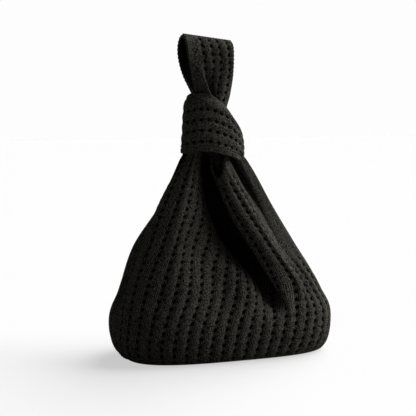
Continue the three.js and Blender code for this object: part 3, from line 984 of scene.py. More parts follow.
    def __post_init__(self) -> None:
        """Measure the belly's outline once, and read the fold lines."""
        self._angles = np.linspace(math.pi, 3 * math.pi, self.table_steps + 1)
        self._lengths = lengths_along(np.stack(self._outline(self._angles, 0.0), axis=-1))
        self.belt_length = float(self._lengths[-1])
        self._fold_shares = np.array([line.shares for line in self.fold_lines]).T
        belt_x, belt_y = self.belt(self._fold_shares[0], 0.0)
        widths = np.array([line.widths for line in self.fold_lines]).T
        depths = np.array([line.depths for line in self.fold_lines]).T
        self._fold_widths = np.concatenate([[belt_x / (self.belly_width / 2)], widths])
        self._fold_depths = np.concatenate([[belt_y / (self.belly_depth / 2)], depths])

    def _outline(self, angle: Array, inset: Array | float) -> tuple[Array, Array]:
        """Find the belly's outline, or the outline of the foot below it.

        Args:
            angle: Angle round the outline, from the right through the back.
            inset: How far the outline is drawn in from the belly.

        Returns:
            The two coordinates of each point.
        """
        power = 2 / self.corner_power
        cosine, sine = np.cos(angle), np.sin(angle)
        low = np.minimum(1.0, inset / self.base_inset)
        wide = np.sign(cosine) * np.abs(cosine) ** power
        deep = np.sign(sine) * np.abs(sine) ** power
        x = self.base_shift * low + (self.belly_width / 2 - inset) * wide
        y = -self.base_forward * low + (self.belly_depth / 2 - inset) * deep
        return x, y

    def belt(self, share: Array, inset: Array | float) -> tuple[Array, Array]:
        """Find the outline at a share of the round."""
        wanted = np.mod(share, 1.0) * self.belt_length
        return self._outline(np.interp(wanted, self._lengths, self._angles), inset)

    def rim(self, share: Array) -> Array:
        """Find the height of the pouch's rim, which is tucked into the knot and dips at each mouth.

        Args:
            share: Shares of the round.

        Returns:
            The rim's height at each share.
        """
        height = np.full(np.shape(share), self.tuck_height, float)
        for mouth in (self.front_mouth, self.back_mouth):
            off = mouth.off(share)
            dip = self.neck_height - mouth.drop * (1 - off**self.mouth_power)
            climb = self.neck_height + self.mouth_flare * (off - 1)
            height = np.where(off < 1, dip, np.minimum(height, climb))
        return height

    def fold_depth(self, heights: Array, shares: Array) -> Array:
        """Find how deep points lie in the fold beside the ridge, where the panels are painted
        darker as shade.

        Args:
            heights: Heights of the points, rows by shares.
            shares: Shares of the round.

        Returns:
            0 outside the fold to 1 at its bottom.
        """
        rise = (heights - self.belly_height) / (self.neck_height - self.belly_height)
        stations = curve_through(self.levels, self._fold_shares, rise)
        names = [line.name for line in self.fold_lines]
        edge, bottom, ridge = (
            stations[..., names.index(name)] for name in ("valley edge", "valley", "ridge left")
        )
        falling = smooth((shares - edge) / (bottom - edge), *self.fold_fall)
        climbing = smooth((shares - bottom) / (ridge - bottom), *self.fold_climb)
        return falling * (1 - climbing) * smooth(rise, *self.fold_rise)

    def section(self, rise: float, shares: Array) -> Array:
        """Find the outline at a height.

        Args:
            rise: Share of the way from the belly to the neck.
            shares: Shares of the round.

        Returns:
            Points of two coordinates.
        """
        gather = rise**self.gather_power
        half_width = mix(self.belly_width, self.neck_width, gather) / 2
        half_depth = mix(self.belly_depth, self.neck_depth, gather) / 2
        stations, widths, depths = (
            curve_through(self.levels, table, np.array([rise]))[0]
            for table in (self._fold_shares, self._fold_widths, self._fold_depths)
        )
        x = self.neck_lean * gather + half_width * widths
        points = np.stack([x, half_depth * depths], axis=-1)
        around = np.concatenate([stations[-3:] - 1, stations, stations[:3] + 1])
        points = np.concatenate([points[-3:], points, points[:3]])
        folded = curve_through(around, points, np.mod(shares, 1.0))
        belt = np.stack(self.belt(shares, 0.0), axis=-1)
        return mix(belt, folded, smooth(rise, 0.0, self.fold_start))

    def meridians(self, shares: Array, steps: int) -> Array:
        """Follow the face up from the base's rim, past the neck, at each share of the round.

        Args:
            shares: Shares of the round.
            steps: Steps from the belly to the neck; the foot has a quarter as many.

        Returns:
            Points, rows by shares by three.
        """
        rows = []
        for turn in np.linspace(0.0, math.pi / 2, steps // 4 + 1)[:-1]:
            height = self.floor_lift + (self.belly_height - self.floor_lift) * (1 - math.cos(turn))
            x, y = self.belt(shares, self.base_inset * (1 - math.sin(turn)))
            rows.append(np.stack([x, y, np.full_like(x, height)], axis=-1))
        for rise in np.linspace(0.0, 1.0, steps + 1):
            height = mix(self.belly_height, self.neck_height, rise)
            flat = self.section(float(rise), shares)
            rows.append(np.concatenate([flat, np.full((len(shares), 1), height)], axis=-1))
        tuck = rows[-1] + self.tuck_reach * (rows[-1] - rows[-1 - self.tuck_rows])
        tuck[:, 2] = self.tuck_height
        return np.stack([*rows, tuck])


@dataclass(frozen=True)
class KnitGrid:
    """A stretch of the pouch's face, sampled along its columns and up its eyelet rows."""

    columns: Array
    base: Array
    normal: Array
    local_pitch: Array
    length: Array
    ends: Array


@dataclass
class Pouch:
    """The pouch: a front and a back panel, their side seams, the base, and the mouths' edges."""

    shape: PouchShape = field(default_factory=PouchShape)
    relief: KnitRelief = KnitRelief(15.1, 9.1)
    side_seam: Binding = Binding(2.2, 1.7)
    mouth_edge: Binding = Binding(2.0, 2.0, stitch_pitch=3.6)
    base_edge: Binding = Binding(1.8, 1.7)
    columns_round: int = 48
    first_column: float = -1.0
    samples_per_column: int = 12
    samples_per_eyelet: int = 5
    wall: float = 4.2
    plain_edge: tuple[float, float] = (12.0, 14.0)
    plain_lobe: tuple[float, float, float, float] = (18.6, 19.2, 22.6, 23.0)
    lobe_heights: tuple[float, float] = (95.0, 125.0)
    # Shares of painted shade on the plain lobe and at the bottom of the fold beside the ridge.
    lobe_painted_shade: float = 0.4
    fold_painted_shade: float = 0.75
    foot_heights: tuple[float, float] = (0.0, 9.0)
    foot_skew: float = 1.0
    skew_heights: tuple[float, float] = (-20.0, 90.0)
    meridian_steps: int = 200
    seam_half: float = 0.004
    seam_sunk: float = 0.6
    seam_step: float = 1.0
    mouth_share: float = 0.97
    base_inset: float = 19.9
    base_foot: float = 0.2
    base_top: float = 3.6
    base_spokes: int = 144
    base_rings: int = 24
    base_flat: tuple[float, float] = (0.002, 0.97)
    base_roll: tuple[tuple[float, float], ...] = ((0.99, 0.4), (1.0, 1.2))
    binding_inset: float = 17.9
    binding_points: int = 480
    panel_flat_m: tuple[float, float] = (0.362, 0.25)
    panel_area_m2: float = 0.072
    base_flat_m: tuple[float, float] = (0.222, 0.1)

    def build(self, knit: Material, trim: Material) -> dict[str, Piece]:
        """Make every piece of the pouch.

        Args:
            knit: The eyelet knit.
            trim: The knit of the seams and edges.

        Returns:
            The pieces by name.
        """
        gap = 1 / self.samples_per_column
        half = self.columns_round / 2
        start = self.first_column
        front = self._grid(start + gap, start + half - gap)
        back = self._grid(start + half + gap, start + 2 * half - gap)
        pieces = {
            "knit_front": self._panel("knit_front", front, knit),
            "knit_back": self._panel("knit_back", back, knit),
            "knit_base": self._base(knit),
            "left_seam": self._seam("left_seam", 0.0, trim),
            "right_seam": self._seam("right_seam", 0.5, trim),
            "base_binding": self._base_binding(trim),
            "front_mouth_edge": self._mouth(
                "front_mouth_edge", front, self.shape.front_mouth, trim
            ),
            "back_mouth_edge": self._mouth("back_mouth_edge", back, self.shape.back_mouth, trim),
        }
        for name, slot, replaced in (
            ("knit_front", Slot.KNIT, "front_panel"),
            ("knit_back", Slot.KNIT, "back_panel"),
            ("knit_base", Slot.KNIT, "base_panel"),
            ("left_seam", Slot.EDGING, "left_side_seam"),
            ("right_seam", Slot.EDGING, "right_side_seam"),
            ("base_binding", Slot.EDGING, "base_seam"),
            ("front_mouth_edge", Slot.EDGING, "front_mouth_edging"),
            ("back_mouth_edge", Slot.EDGING, "back_mouth_edging"),
        ):
            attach(pieces[name], "pouch")
            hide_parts(replaced)
        return pieces

    def _share_of(self, column: Array) -> Array:
        """Turn a column number to a share of the round."""
        return (column - self.first_column) / self.columns_round

    def _grid(self, start: float, end: float) -> KnitGrid:
        """Sample the face from one column to another, from the foot to the rim.

        Args:
            start: First column.
            end: Last column.

        Returns:
            The grid, whose columns stop at the rim.
        """
        count = int(round((end - start) * self.samples_per_column))
        columns = np.linspace(start, end, count + 1)
        shares = self._share_of(columns)
        line = self.shape.meridians(shares, self.meridian_steps)
        rim = self.shape.rim(shares)
        lengths = lengths_along(line)
        every = range(len(columns))
        ends = np.array([np.interp(rim[k], line[:, k, 2], lengths[:, k]) for k in every])
        normals = grid_normals(line)
        pitch = np.linalg.norm(np.gradient(line, columns, axis=1), axis=-1)
        step = self.relief.eyelet_pitch / self.samples_per_eyelet
        rows = int(math.ceil(ends.max() / step)) + 1
        wanted = np.minimum((np.arange(rows) * step)[:, None], ends[None, :])
        base = np.zeros((rows, len(columns), 3))
        normal = np.zeros_like(base)
        local = np.zeros((rows, len(columns)))
        for k in every:
            for axis in range(3):
                base[:, k, axis] = np.interp(wanted[:, k], lengths[:, k], line[:, k, axis])
                normal[:, k, axis] = np.interp(wanted[:, k], lengths[:, k], normals[:, k, axis])
            local[:, k] = np.interp(wanted[:, k], lengths[:, k], pitch[:, k])
        return KnitGrid(columns, base, unit(normal), local, wanted, ends)

    def _panel(self, name: str, grid: KnitGrid, finish: Material) -> Piece:
        """Knit a panel over a grid, plain along its rim and on the lobe, leaning at the foot.

        Args:
            name: The piece's name.
            grid: Where it lies.
            finish: The knit.

        Returns:
            The closed sheet.
        """
        height = grid.base[..., 2]
        column = grid.columns + self.foot_skew * (1 - smooth(height, *self.skew_heights))
        row = grid.length / self.relief.eyelet_pitch
        to_rim = grid.ends - grid.length
        lobe_in, lobe_full, lobe_out, lobe_end = self.plain_lobe
        lobe = smooth(column, lobe_in, lobe_full) * (1 - smooth(column, lobe_out, lobe_end))
        lobe = lobe * smooth(height, *self.lobe_heights)
        foot = smooth(height, *self.foot_heights)
        mark = foot * smooth(to_rim, *self.plain_edge) * (1 - lobe)
        lift = foot * self.relief.lift(column, row, grid.local_pitch, mark)
        outer = grid.base + grid.normal * lift[..., None]
        inner = grid.base - grid.normal * self.wall
        outer[..., 2] = np.maximum(outer[..., 2], 0.0)
        step = self.relief.eyelet_pitch / self.samples_per_eyelet
        tops = np.ceil(grid.ends / step - 1e-6).astype(int)
        knit = np.stack([column, row], axis=-1)
        # Painted shade: darker on the lobe and deep in the fold beside the ridge.
        fold = self.shape.fold_depth(height, self._share_of(grid.columns))
        painted_shade = np.maximum(self.lobe_painted_shade * lobe, self.fold_painted_shade * fold)
        return MeshMaker.sheet(name, outer, inner, knit, mark, finish, painted_shade, tops)

    def _seam(self, name: str, share: float, finish: Material) -> Piece:
        """Link the two panels up one side.

        Args:
            name: The piece's name.
            share: Where on the round the seam runs.
            finish: The seam's knit.

        Returns:
            The seam.
        """
        shares = share + self.seam_half * np.array([-1.0, 0.0, 1.0])
        line = self.shape.meridians(shares, self.meridian_steps)
        normals = grid_normals(line)[:, 1]
        rings, knit = self.side_seam.along(line[:, 1], normals, self.seam_step, self.seam_sunk)
        rings[..., 2] = np.maximum(rings[..., 2], 0.0)
        return MeshMaker.tube(name, rings, knit, finish)

    def _base(self, finish: Material) -> Piece:
        """Lay the base, a flat rounded sheet with its columns across.

        Args:
            finish: The knit.

        Returns:
            The closed sheet.
        """
        roll_reach, roll = np.array(self.base_roll).T
        reach = np.concatenate([np.linspace(*self.base_flat, self.base_rings), roll_reach])
        roll = np.concatenate([np.zeros(self.base_rings), roll])
        shares = np.linspace(0.0, 1.0, self.base_spokes, endpoint=False)
        x, y = self.shape.belt(shares, self.base_inset)
        under = np.zeros((len(reach), len(shares), 3))
        under[..., 0] = reach[:, None] * x
        under[..., 1] = reach[:, None] * y
        over = under.copy()
        under[..., 2] = (self.base_foot + roll)[:, None]
        over[..., 2] = (self.base_top - roll)[:, None]
        knit = under[..., :2] / np.array([self.relief.column_pitch, self.relief.eyelet_pitch])
        mark = np.zeros(under.shape[:2])
        return MeshMaker.sheet("knit_base", under, over, knit, mark, finish, ring=True)

    def _base_binding(self, finish: Material) -> Piece:
        """Bind the base to the panels all round.

        Args:
            finish: The binding's knit.

        Returns:
            The binding.
        """
        shares = np.linspace(0.0, 1.0, self.binding_points, endpoint=False)
        x, y = self.shape.belt(shares, self.binding_inset)
        path = np.stack([x, y, np.full_like(x, (self.base_foot + self.base_top) / 2)], axis=-1)
        up = np.tile([0.0, 0.0, 1.0], (len(path), 1))
        rings, knit = self.base_edge.rings(path, up, closed=True)
        rings[..., 2] = np.maximum(rings[..., 2], 0.0)
        return MeshMaker.tube("base_binding", rings, knit, finish, closed=True)

    def _mouth(self, name: str, grid: KnitGrid, mouth: Mouth, finish: Material) -> Piece:
        """Roll the edge of a mouth.

        Args:
            name: The piece's name.
            grid: The panel that the mouth is in.
            mouth: Where the mouth lies.
            finish: The edge's knit.

        Returns:
            The rolled edge.
        """
        near = mouth.off(self._share_of(grid.columns)) < self.mouth_share
        normals = grid.normal[-1, near]
        rings, knit = self.mouth_edge.along(grid.base[-1, near] - normals * self.wall / 2, normals)
        return MeshMaker.tube(name, rings, knit, finish)


@dataclass(frozen=True)
class StrapLine:
    """A line along the strap: its column, and at each station its X and how far it stands out."""

    column: float
    across: tuple[float, ...]
    out: tuple[float, ...]


@dataclass(frozen=True)
class StrapLimb:
    """One limb of the strap: its points and normals, its columns, and its lengths from the foot."""

    points: Array
    normals: Array
    columns: Array
    lengths: Array

    def turned(self) -> StrapLimb:
        """Turn the order of the columns round, so that the limb's faces look backwards."""
        points, normals = self.points[:, ::-1], self.normals[:, ::-1]
        return StrapLimb(points, normals, self.columns[::-1], self.lengths)


@dataclass
class WristLoop:
    """The long handle: a flat knitted strap, gathered by the knot and folded into a wrist loop."""

    relief: KnitRelief = KnitRelief(12.2, 8.7, rib_lift=0.8, pit_depth=2.3, pit_radius=1.7)
    selvedge: Binding = Binding(1.5, 1.5, stitch_pitch=4.5, stitch_depth=0.2)
    top_seam: Binding = Binding(1.6, 1.1, stitch_pitch=3.4)
    middle: float = -17.0
    top_slope: float = 0.115
    first_eyelet: float = 3.5
    slope_heights: tuple[float, float] = (319.0, 365.0)
    wall: float = 3.4
    row_step: float = 1.5
    samples_per_column: int = 14
    plain_columns: tuple[float, float] = (-0.6, -0.4)
    seam_lift: float = 0.1
    flat_m: tuple[float, float] = (0.06, 0.125)
    profile: tuple[tuple[float, float], ...] = (
        (12.0, 246.0),
        (12.4, 285.0),
        (12.7, 297.0),
        (12.9, 306.0),
        (13.2, 318.0),
        (13.5, 330.0),
        (13.4, 344.0),
        (11.8, 353.6),
        (8.5, 359.7),
        (4.5, 362.8),
        (0.15, 363.8),
    )
    stations: tuple[int, ...] = (0, 1, 2, 3, 4, 5, 6, 10)
    front_lines: tuple[StrapLine, ...] = (
        StrapLine(
            -1.45,
            (-30, -31, -31.5, -34.5, -38.5, -41.8, -44.6, -47),
            (-8, -8, -7, -5, -3, -1, 0, 0),
        ),
        StrapLine(
            -0.95,
            (-20, -21, -24, -28.5, -33.9, -37, -39.5, -41.5),
            (-5, -5, -5, -4, -2, 0, 0, 0),
        ),
        StrapLine(
            -0.5,
            (-14, -16.5, -20, -23.5, -28.2, -31, -33.5, -36.3),
            (4, 5, 6, 5.5, 3.5, 0.6, 0, 0),
        ),
        StrapLine(
            0.0,
            (-11, -12.5, -16, -20, -23.4, -24.6, -26.8, -30.5),
            (-3.5, -3.5, -3.5, -3, -1.5, 0, 0, 0),
        ),
        StrapLine(
            1.0,
            (-10, -11.5, -14, -16.5, -16.2, -14.8, -15.8, -19.5),
            (-2.5, -2.5, -2.5, -2, -0.5, 0.5, 0, 0),
        ),
        StrapLine(
            2.0,
            (-8, -9, -10.5, -10, -7.4, -5.8, -6.7, -9.3),
            (0.5, 1.5, 2, 1.5, 1, 0, 0, 0),
        ),
        StrapLine(
            3.0,
            (-5, -4, -1.3, 1.2, 3.3, 4.9, 4.2, 2.5),
            (-1, 0, 1, 1, 0.5, 0, 0, 0),
        ),
        StrapLine(
            3.55,
            (0, 3.5, 6.3, 7.7, 9.2, 9.8, 9.8, 10.5),
            (-8, -6, -4, -3, -2, -1.5, -1, 0),
        ),
    )
    back_lines: tuple[StrapLine, ...] = (
        StrapLine(
            -1.45,
            (-30, -31, -33, -36.5, -41.5, -45.5, -48, -47),
            (-8, -8, -6, -4, -2, -1, 0, 0),
        ),
        StrapLine(
            0.0,
            (-24, -25, -26.5, -27.5, -28.5, -28.5, -29.5, -30.5),
            (1, 1.5, 2, 2, 1, 0.5, 0, 0),
        ),
        StrapLine(
            1.0,
            (-17, -17.5, -18, -18, -17.5, -17.5, -18.5, -19.5),
            (-2, -2, -2, -1.5, -1, 0, 0, 0),
        ),
        StrapLine(
            2.0,
            (-10, -10, -9.5, -8.5, -7.5, -7, -8, -9.3),
            (1.5, 1.5, 2, 1.5, 1, 0.5, 0, 0),
        ),
        StrapLine(
            3.0,
            (-4, -2, 0, 2, 3.5, 4.5, 4, 2.5),
            (-0.5, 0, 0.5, 0.5, 0.5, 0, 0, 0),
        ),
        StrapLine(
            3.55,
            (0, 3.5, 6.3, 7.7, 9.2, 9.8, 10, 10.5),
            (-8, -6, -4, -3, -2, -1.5, -1, 0),
        ),
    )
    fold_start: tuple[float, float, float] = (-0.017, 0.0, 0.302)
    fold_end: tuple[float, float, float] = (-0.017, 0.0, 0.336)
    # Share of painted shade on the knit gathered in the knot.
    core_painted_shade: float = 0.55
    core_rings: int = 49
    core_sides: int = 72
    core_round: float = 6.0
    core_tip: float = 0.05
    core_folds: int = 7
    core_fold_depth: float = 0.12
    core_columns_per_radian: float = 1.2
    core_row_pitch: float = 9.0
    core_heights: tuple[float, ...] = (200.0, 215.0, 226.0, 235.0, 242.0, 253.0, 300.0)
    core_middles: tuple[tuple[float, float], ...] = (
        (3, 0),
        (2, 0),
        (-1, 0),
        (-8, 1),
        (-11, 4.5),
        (-15, 0),
        (-17, 0),
    )
    core_halves: tuple[tuple[float, float], ...] = (
        (8, 7),
        (10, 8),
        (11, 9),
        (15, 9.5),
        (29, 18),
        (19, 10),
        (17, 9),
    )

    def build(self, knit: Material, trim: Material) -> dict[str, Piece]:
        """Make every piece of the long handle.

        Args:
            knit: The handles' knit.
            trim: The knit of the seams and edges.

        Returns:
            The pieces by name.
        """
        front = self._limb(self.front_lines, Side.FRONT)
        back = self._limb(self.back_lines, Side.BACK)
        pieces = {
            "strap_front": self._strap("strap_front", front, knit),
            "strap_back": self._strap("strap_back", back.turned(), knit),
            "strap_left_edge": self._selvedge("strap_left_edge", front, back, 0, trim),
            "strap_right_edge": self._selvedge("strap_right_edge", front, back, -1, trim),
            "strap_top_seam": self._seam(front, trim),
            "strap_core": self._core(knit),
        }
        for name, slot, replaced in (
            ("strap_front", Slot.KNIT, ("loop_front_limb", "long_handle_front_root")),
            ("strap_back", Slot.KNIT, ("loop_back_limb", "long_handle_back_root")),
            ("strap_left_edge", Slot.EDGING, ("loop_left_edging",)),
            ("strap_right_edge", Slot.EDGING, ("loop_right_edging",)),
        ):
            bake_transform(pieces[name])
            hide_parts(*replaced)
        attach(pieces["strap_top_seam"], "wrist_loop")
        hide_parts("loop_top_seam")
        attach(pieces["strap_core"], "pouch")
        return pieces

    def _limb(self, lines: Sequence[StrapLine], side: Side) -> StrapLimb:
        """Lay one limb of the strap from inside the knot to the top of the loop.

        Args:
            lines: The lines that the folds follow.
            side: Which limb it is.

        Returns:
            The limb, with normals that point outward.
        """
        corners = np.array(self.profile)
        marks = lengths_along(corners)
        length = np.linspace(0.0, marks[-1], int(round(marks[-1] / self.row_step)) + 1)
        middle = curve_through(marks, corners, length)
        tangent = unit(np.gradient(middle, axis=0))
        outward = np.stack([tangent[:, 1], -tangent[:, 0]], axis=-1)
        at = [line.column for line in lines]
        count = int(round((at[-1] - at[0]) * self.samples_per_column))
        columns = np.linspace(at[0], at[-1], count + 1)
        rows = []
        for values in ([line.across for line in lines], [line.out for line in lines]):
            along = curve_through(marks[list(self.stations)], np.array(values, float).T, length)
            rows.append(np.stack([curve_through(at, row, columns)[:, 0] for row in along]))
        across, out = rows
        points = np.zeros((*across.shape, 3))
        points[..., 0] = across
        points[..., 1] = side.value * (middle[:, None, 0] + out * outward[:, None, 0])
        points[..., 2] = middle[:, None, 1] + out * outward[:, None, 1]
        low, high = self.slope_heights
        share = np.clip((points[..., 2] - low) / (high - low), 0.0, 1.0)
        points[..., 2] -= self.top_slope * (across - self.middle) * share
        return StrapLimb(points, -side.value * grid_normals(points), columns, length)

    def _strap(self, name: str, limb: StrapLimb, finish: Material) -> Piece:
        """Knit a limb of the strap.

        Args:
            name: The piece's name.
            limb: Where it runs.
            finish: The knit.

        Returns:
            The closed sheet.
        """
        eyelets = (limb.lengths - self.first_eyelet) / self.relief.eyelet_pitch
        column, row = np.broadcast_arrays(limb.columns[None, :], eyelets[:, None])
        local = np.linalg.norm(np.gradient(limb.points, limb.columns, axis=1), axis=-1)
        mark = smooth(column, *self.plain_columns)
        lift = self.relief.lift(column, row, local, mark)
        outer = limb.points + limb.normals * lift[..., None]
        inner = limb.points - limb.normals * self.wall
        return MeshMaker.sheet(name, outer, inner, np.stack([column, row], axis=-1), mark, finish)

    def _selvedge(
        self,
        name: str,
        front: StrapLimb,
        back: StrapLimb,
        column: int,
        finish: Material,
    ) -> Piece:
        """Run the strap's selvedge up the front limb and down the back limb.

        Args:
            name: The piece's name.
            front: The front limb.
            back: The back limb.
            column: Which column of the limbs it runs along.
            finish: The selvedge's knit.

        Returns:
            The selvedge.
        """
        path = np.concatenate([front.points[:, column], back.points[-2::-1, column]])
        out = np.concatenate([front.normals[:, column], back.normals[-2::-1, column]])
        rings, knit = self.selvedge.along(path - 0.5 * self.wall * out, out)
        return MeshMaker.tube(name, rings, knit, finish)

    def _seam(self, front: StrapLimb, finish: Material) -> Piece:
        """Join the two limbs along the top of the loop.

        Args:
            front: The front limb, which ends at the top.
            finish: The seam's knit.

        Returns:
            The seam.
        """
        path = front.points[-1].copy()
        path[:, 1] = 0.0
        path[:, 2] += self.seam_lift
        rings, knit = self.top_seam.along(path, front.normals[-1])
        return MeshMaker.tube("strap_top_seam", rings, knit, finish)

    def _core(self, finish: Material) -> Piece:
        """Gather the rest of the handle's knit in the knot, down to where the mouth shows it.

        Args:
            finish: The knit.

        Returns:
            The gathered knit, a folded column that closes at both ends.
        """
        heights = np.linspace(self.core_heights[0], self.core_heights[-1], self.core_rings)
        angles = np.linspace(0.0, 2 * math.pi, self.core_sides, endpoint=False)
        to_end = np.minimum(heights - heights[0], heights[-1] - heights)
        closing = np.sin(np.clip(to_end / self.core_round, self.core_tip, 1.0) * math.pi / 2)
        middle = curve_through(self.core_heights, self.core_middles, heights)
        half = curve_through(self.core_heights, self.core_halves, heights) * closing[:, None]
        fold = 1 + self.core_fold_depth * np.cos(self.core_folds * angles)
        rings = np.zeros((len(heights), len(angles), 3))
        rings[..., 0] = middle[:, :1] + half[:, :1] * fold * np.cos(angles)
        rings[..., 1] = middle[:, 1:] + half[:, 1:] * fold * np.sin(angles)
        rings[..., 2] = heights[:, None]
        column = angles[None, :] * self.core_columns_per_radian
        row = heights[:, None] / self.core_row_pitch
        knit = np.stack(np.broadcast_arrays(column, row), axis=-1)
        # The gathered knit is painted darker, as shade.
        return MeshMaker.tube("strap_core", rings, knit, finish, painted_shade=self.core_painted_shade)


@dataclass
class KnotBand:
    """The short handle, looped round the long one: a soft knitted band with a hem at each edge."""

    relief: KnitRelief = KnitRelief(12.2, 8.9, rib_lift=0.7, pit_depth=2.6, pit_radius=1.7)
    hem: Binding = Binding(1.7, 2.0, stitch_pitch=4.0, stitch_depth=0.1)
    seam: Binding = Binding(1.6, 2.0)
    foot: float = 233.6
    height: float = 62.0
    foot_half: tuple[float, float] = (38.0, 27.5)
    top_half: tuple[float, float] = (27.0, 20.0)
    foot_middle: float = -11.0
    top_middle: float = -17.0
    taper_power: float = 1.7
    wall: float = 4.0
    first_row: float = 0.16
    row_pitch: float = 0.1933
    rows: int = 4
    plain_beyond: tuple[float, float] = (0.5, 0.7)
    eyelet_heights: tuple[float, float] = (28.0, 40.0)
    groove_height: float = 4.6
    groove_half: float = 0.7
    groove_depth: float = 1.3
    rim_tuck: float = 2.2
    rim_share: float = 0.9
    end_tuck: float = 3.5
    end_share: float = 0.2
    end_angles: tuple[float, float] = (110.0, 150.0)
    slack: float = 0.7
    slack_waves: int = 3
    slack_rise: float = 14.0
    samples_up: int = 60
    samples_round: int = 110
    seam_gap: float = 1.6
    right_gap: float = 0.2
    seam_shares: tuple[float, float] = (0.03, 0.97)
    seam_points: int = 70
    hem_points: int = 240
    flat_m: tuple[float, float] = (0.103, 0.062)
    angles: tuple[float, ...] = (0, 20, 50, 77, 93, 116, 138, 160, 180)
    upper_rim: tuple[float, ...] = (295.5, 297, 299.5, 299, 295.5, 288, 273.5, 260.5, 255)
    lower_rim: tuple[float, ...] = (234.7, 234, 236.8, 236.1, 233.6, 229.8, 226.5, 223, 222)

    def build(self, knit: Material, trim: Material) -> dict[str, Piece]:
        """Make every piece of the short handle.

        Args:
            knit: The handles' knit.
            trim: The knit of the hems and the seam.

        Returns:
            The pieces by name.
        """
        right, gap = 180.0, self.right_gap
        pieces = {
            "band_front": self._limb("band_front", self.seam_gap, right - gap, knit),
            "band_back": self._limb("band_back", right + gap, 2 * right - self.seam_gap, knit),
            "band_seam": self._seam(trim),
            "band_lower_hem": self._hem("band_lower_hem", 0.0, trim),
            "band_upper_hem": self._hem("band_upper_hem", 1.0, trim),
        }
        for name, slot, replaced in (
            ("band_front", Slot.KNIT, "short_handle_front_limb"),
            ("band_back", Slot.KNIT, "short_handle_back_limb"),
            ("band_seam", Slot.EDGING, "short_handle_seam"),
            ("band_lower_hem", Slot.EDGING, "short_handle_lower_edging"),
            ("band_upper_hem", Slot.EDGING, "short_handle_upper_edging"),
        ):
            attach(pieces[name], "knot_band")
            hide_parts(replaced)
        return pieces

    def _face(self, degrees: Array, share: Array) -> Array:
        """Find the band's face.

        Args:
            degrees: Angle round the band, from the left through the front.
            share: Share of the way from the lower to the upper edge.

        Returns:
            Points of three coordinates.
        """
        mirrored = np.where(degrees > 180, 360 - degrees, degrees)
        low = curve_through(self.angles, self.lower_rim, mirrored)[..., 0]
        high = curve_through(self.angles, self.upper_rim, mirrored)[..., 0]
        z = mix(low, high, share)
        taper = np.clip((z - self.foot) / self.height, 0.0, 1.0) ** self.taper_power
        at_foot = 1 - smooth(share, 0.0, self.end_share)
        tuck = self.rim_tuck * smooth(share, self.rim_share, 1.0)
        tuck = tuck + self.end_tuck * smooth(mirrored, *self.end_angles) * at_foot
        turn = np.radians(degrees)
        wave = np.sin(self.slack_waves * turn + z / self.slack_rise)
        loose = self.slack * wave * np.sin(math.pi * share) - tuck
        half_x = mix(self.foot_half[0], self.top_half[0], taper) + loose
        half_y = mix(self.foot_half[1], self.top_half[1], taper) + loose
        middle = mix(self.foot_middle, self.top_middle, taper)
        return np.stack([middle - half_x * np.cos(turn), -half_y * np.sin(turn), z], axis=-1)

    def _limb(self, name: str, start: float, end: float, finish: Material) -> Piece:
        """Knit one half of the band.

        Args:
            name: The piece's name.
            start: Angle where it starts.
            end: Angle where it ends.
            finish: The knit.

        Returns:
            The closed sheet.
        """
        share, degrees = np.meshgrid(
            np.linspace(0.0, 1.0, self.samples_up + 1),
            np.linspace(start, end, self.samples_round + 1),
            indexing="ij",
        )
        points = self._face(degrees, share)
        normals = grid_normals(points)
        column = (share - self.first_row) / self.row_pitch
        around = lengths_along(points[self.samples_up // 2])
        row = np.broadcast_to(around / self.relief.eyelet_pitch, share.shape)
        tall = np.linalg.norm(np.gradient(points, axis=0), axis=-1) * self.samples_up
        near, far = self.plain_beyond
        last = self.rows - 1
        mark = smooth(column, -far, -near) * (1 - smooth(column, last + near, last + far))
        mark = mark * smooth(tall, *self.eyelet_heights)
        lift = self.relief.lift(column, row, self.row_pitch * tall, mark)
        from_groove = (share * tall - self.groove_height) / self.groove_half
        lift = lift - self.groove_depth * np.exp(-(from_groove**2))
        outer = points + normals * lift[..., None]
        inner = points - normals * self.wall
        return MeshMaker.sheet(name, outer, inner, np.stack([column, row], axis=-1), mark, finish)

    def _hem(self, name: str, share: float, finish: Material) -> Piece:
        """Roll the hem round one edge.

        Args:
            name: The piece's name.
            share: 0 for the lower edge and 1 for the upper edge.
            finish: The hem's knit.

        Returns:
            The hem.
        """
        degrees = np.linspace(0.0, 360.0, self.hem_points, endpoint=False)
        rim = self._face(degrees, np.full_like(degrees, share))
        turn = np.radians(degrees)
        out = np.stack([-np.cos(turn), -np.sin(turn), np.zeros_like(turn)], axis=-1)
        rings, knit = self.hem.rings(rim - 0.5 * self.wall * out, out, closed=True)
        return MeshMaker.tube(name, rings, knit, finish, closed=True)

    def _seam(self, finish: Material) -> Piece:
        """Join the two halves of the band at the left.

        Args:
            finish: The seam's knit.

        Returns:
            The seam.
        """
        share = np.linspace(*self.seam_shares, self.seam_points)
        path = self._face(np.zeros_like(share), share)
        out = np.tile([-1.0, 0.0, 0.0], (len(path), 1))
        rings, knit = self.seam.rings(path - 0.5 * self.wall * out, out)
        return MeshMaker.tube("band_seam", rings, knit, finish)


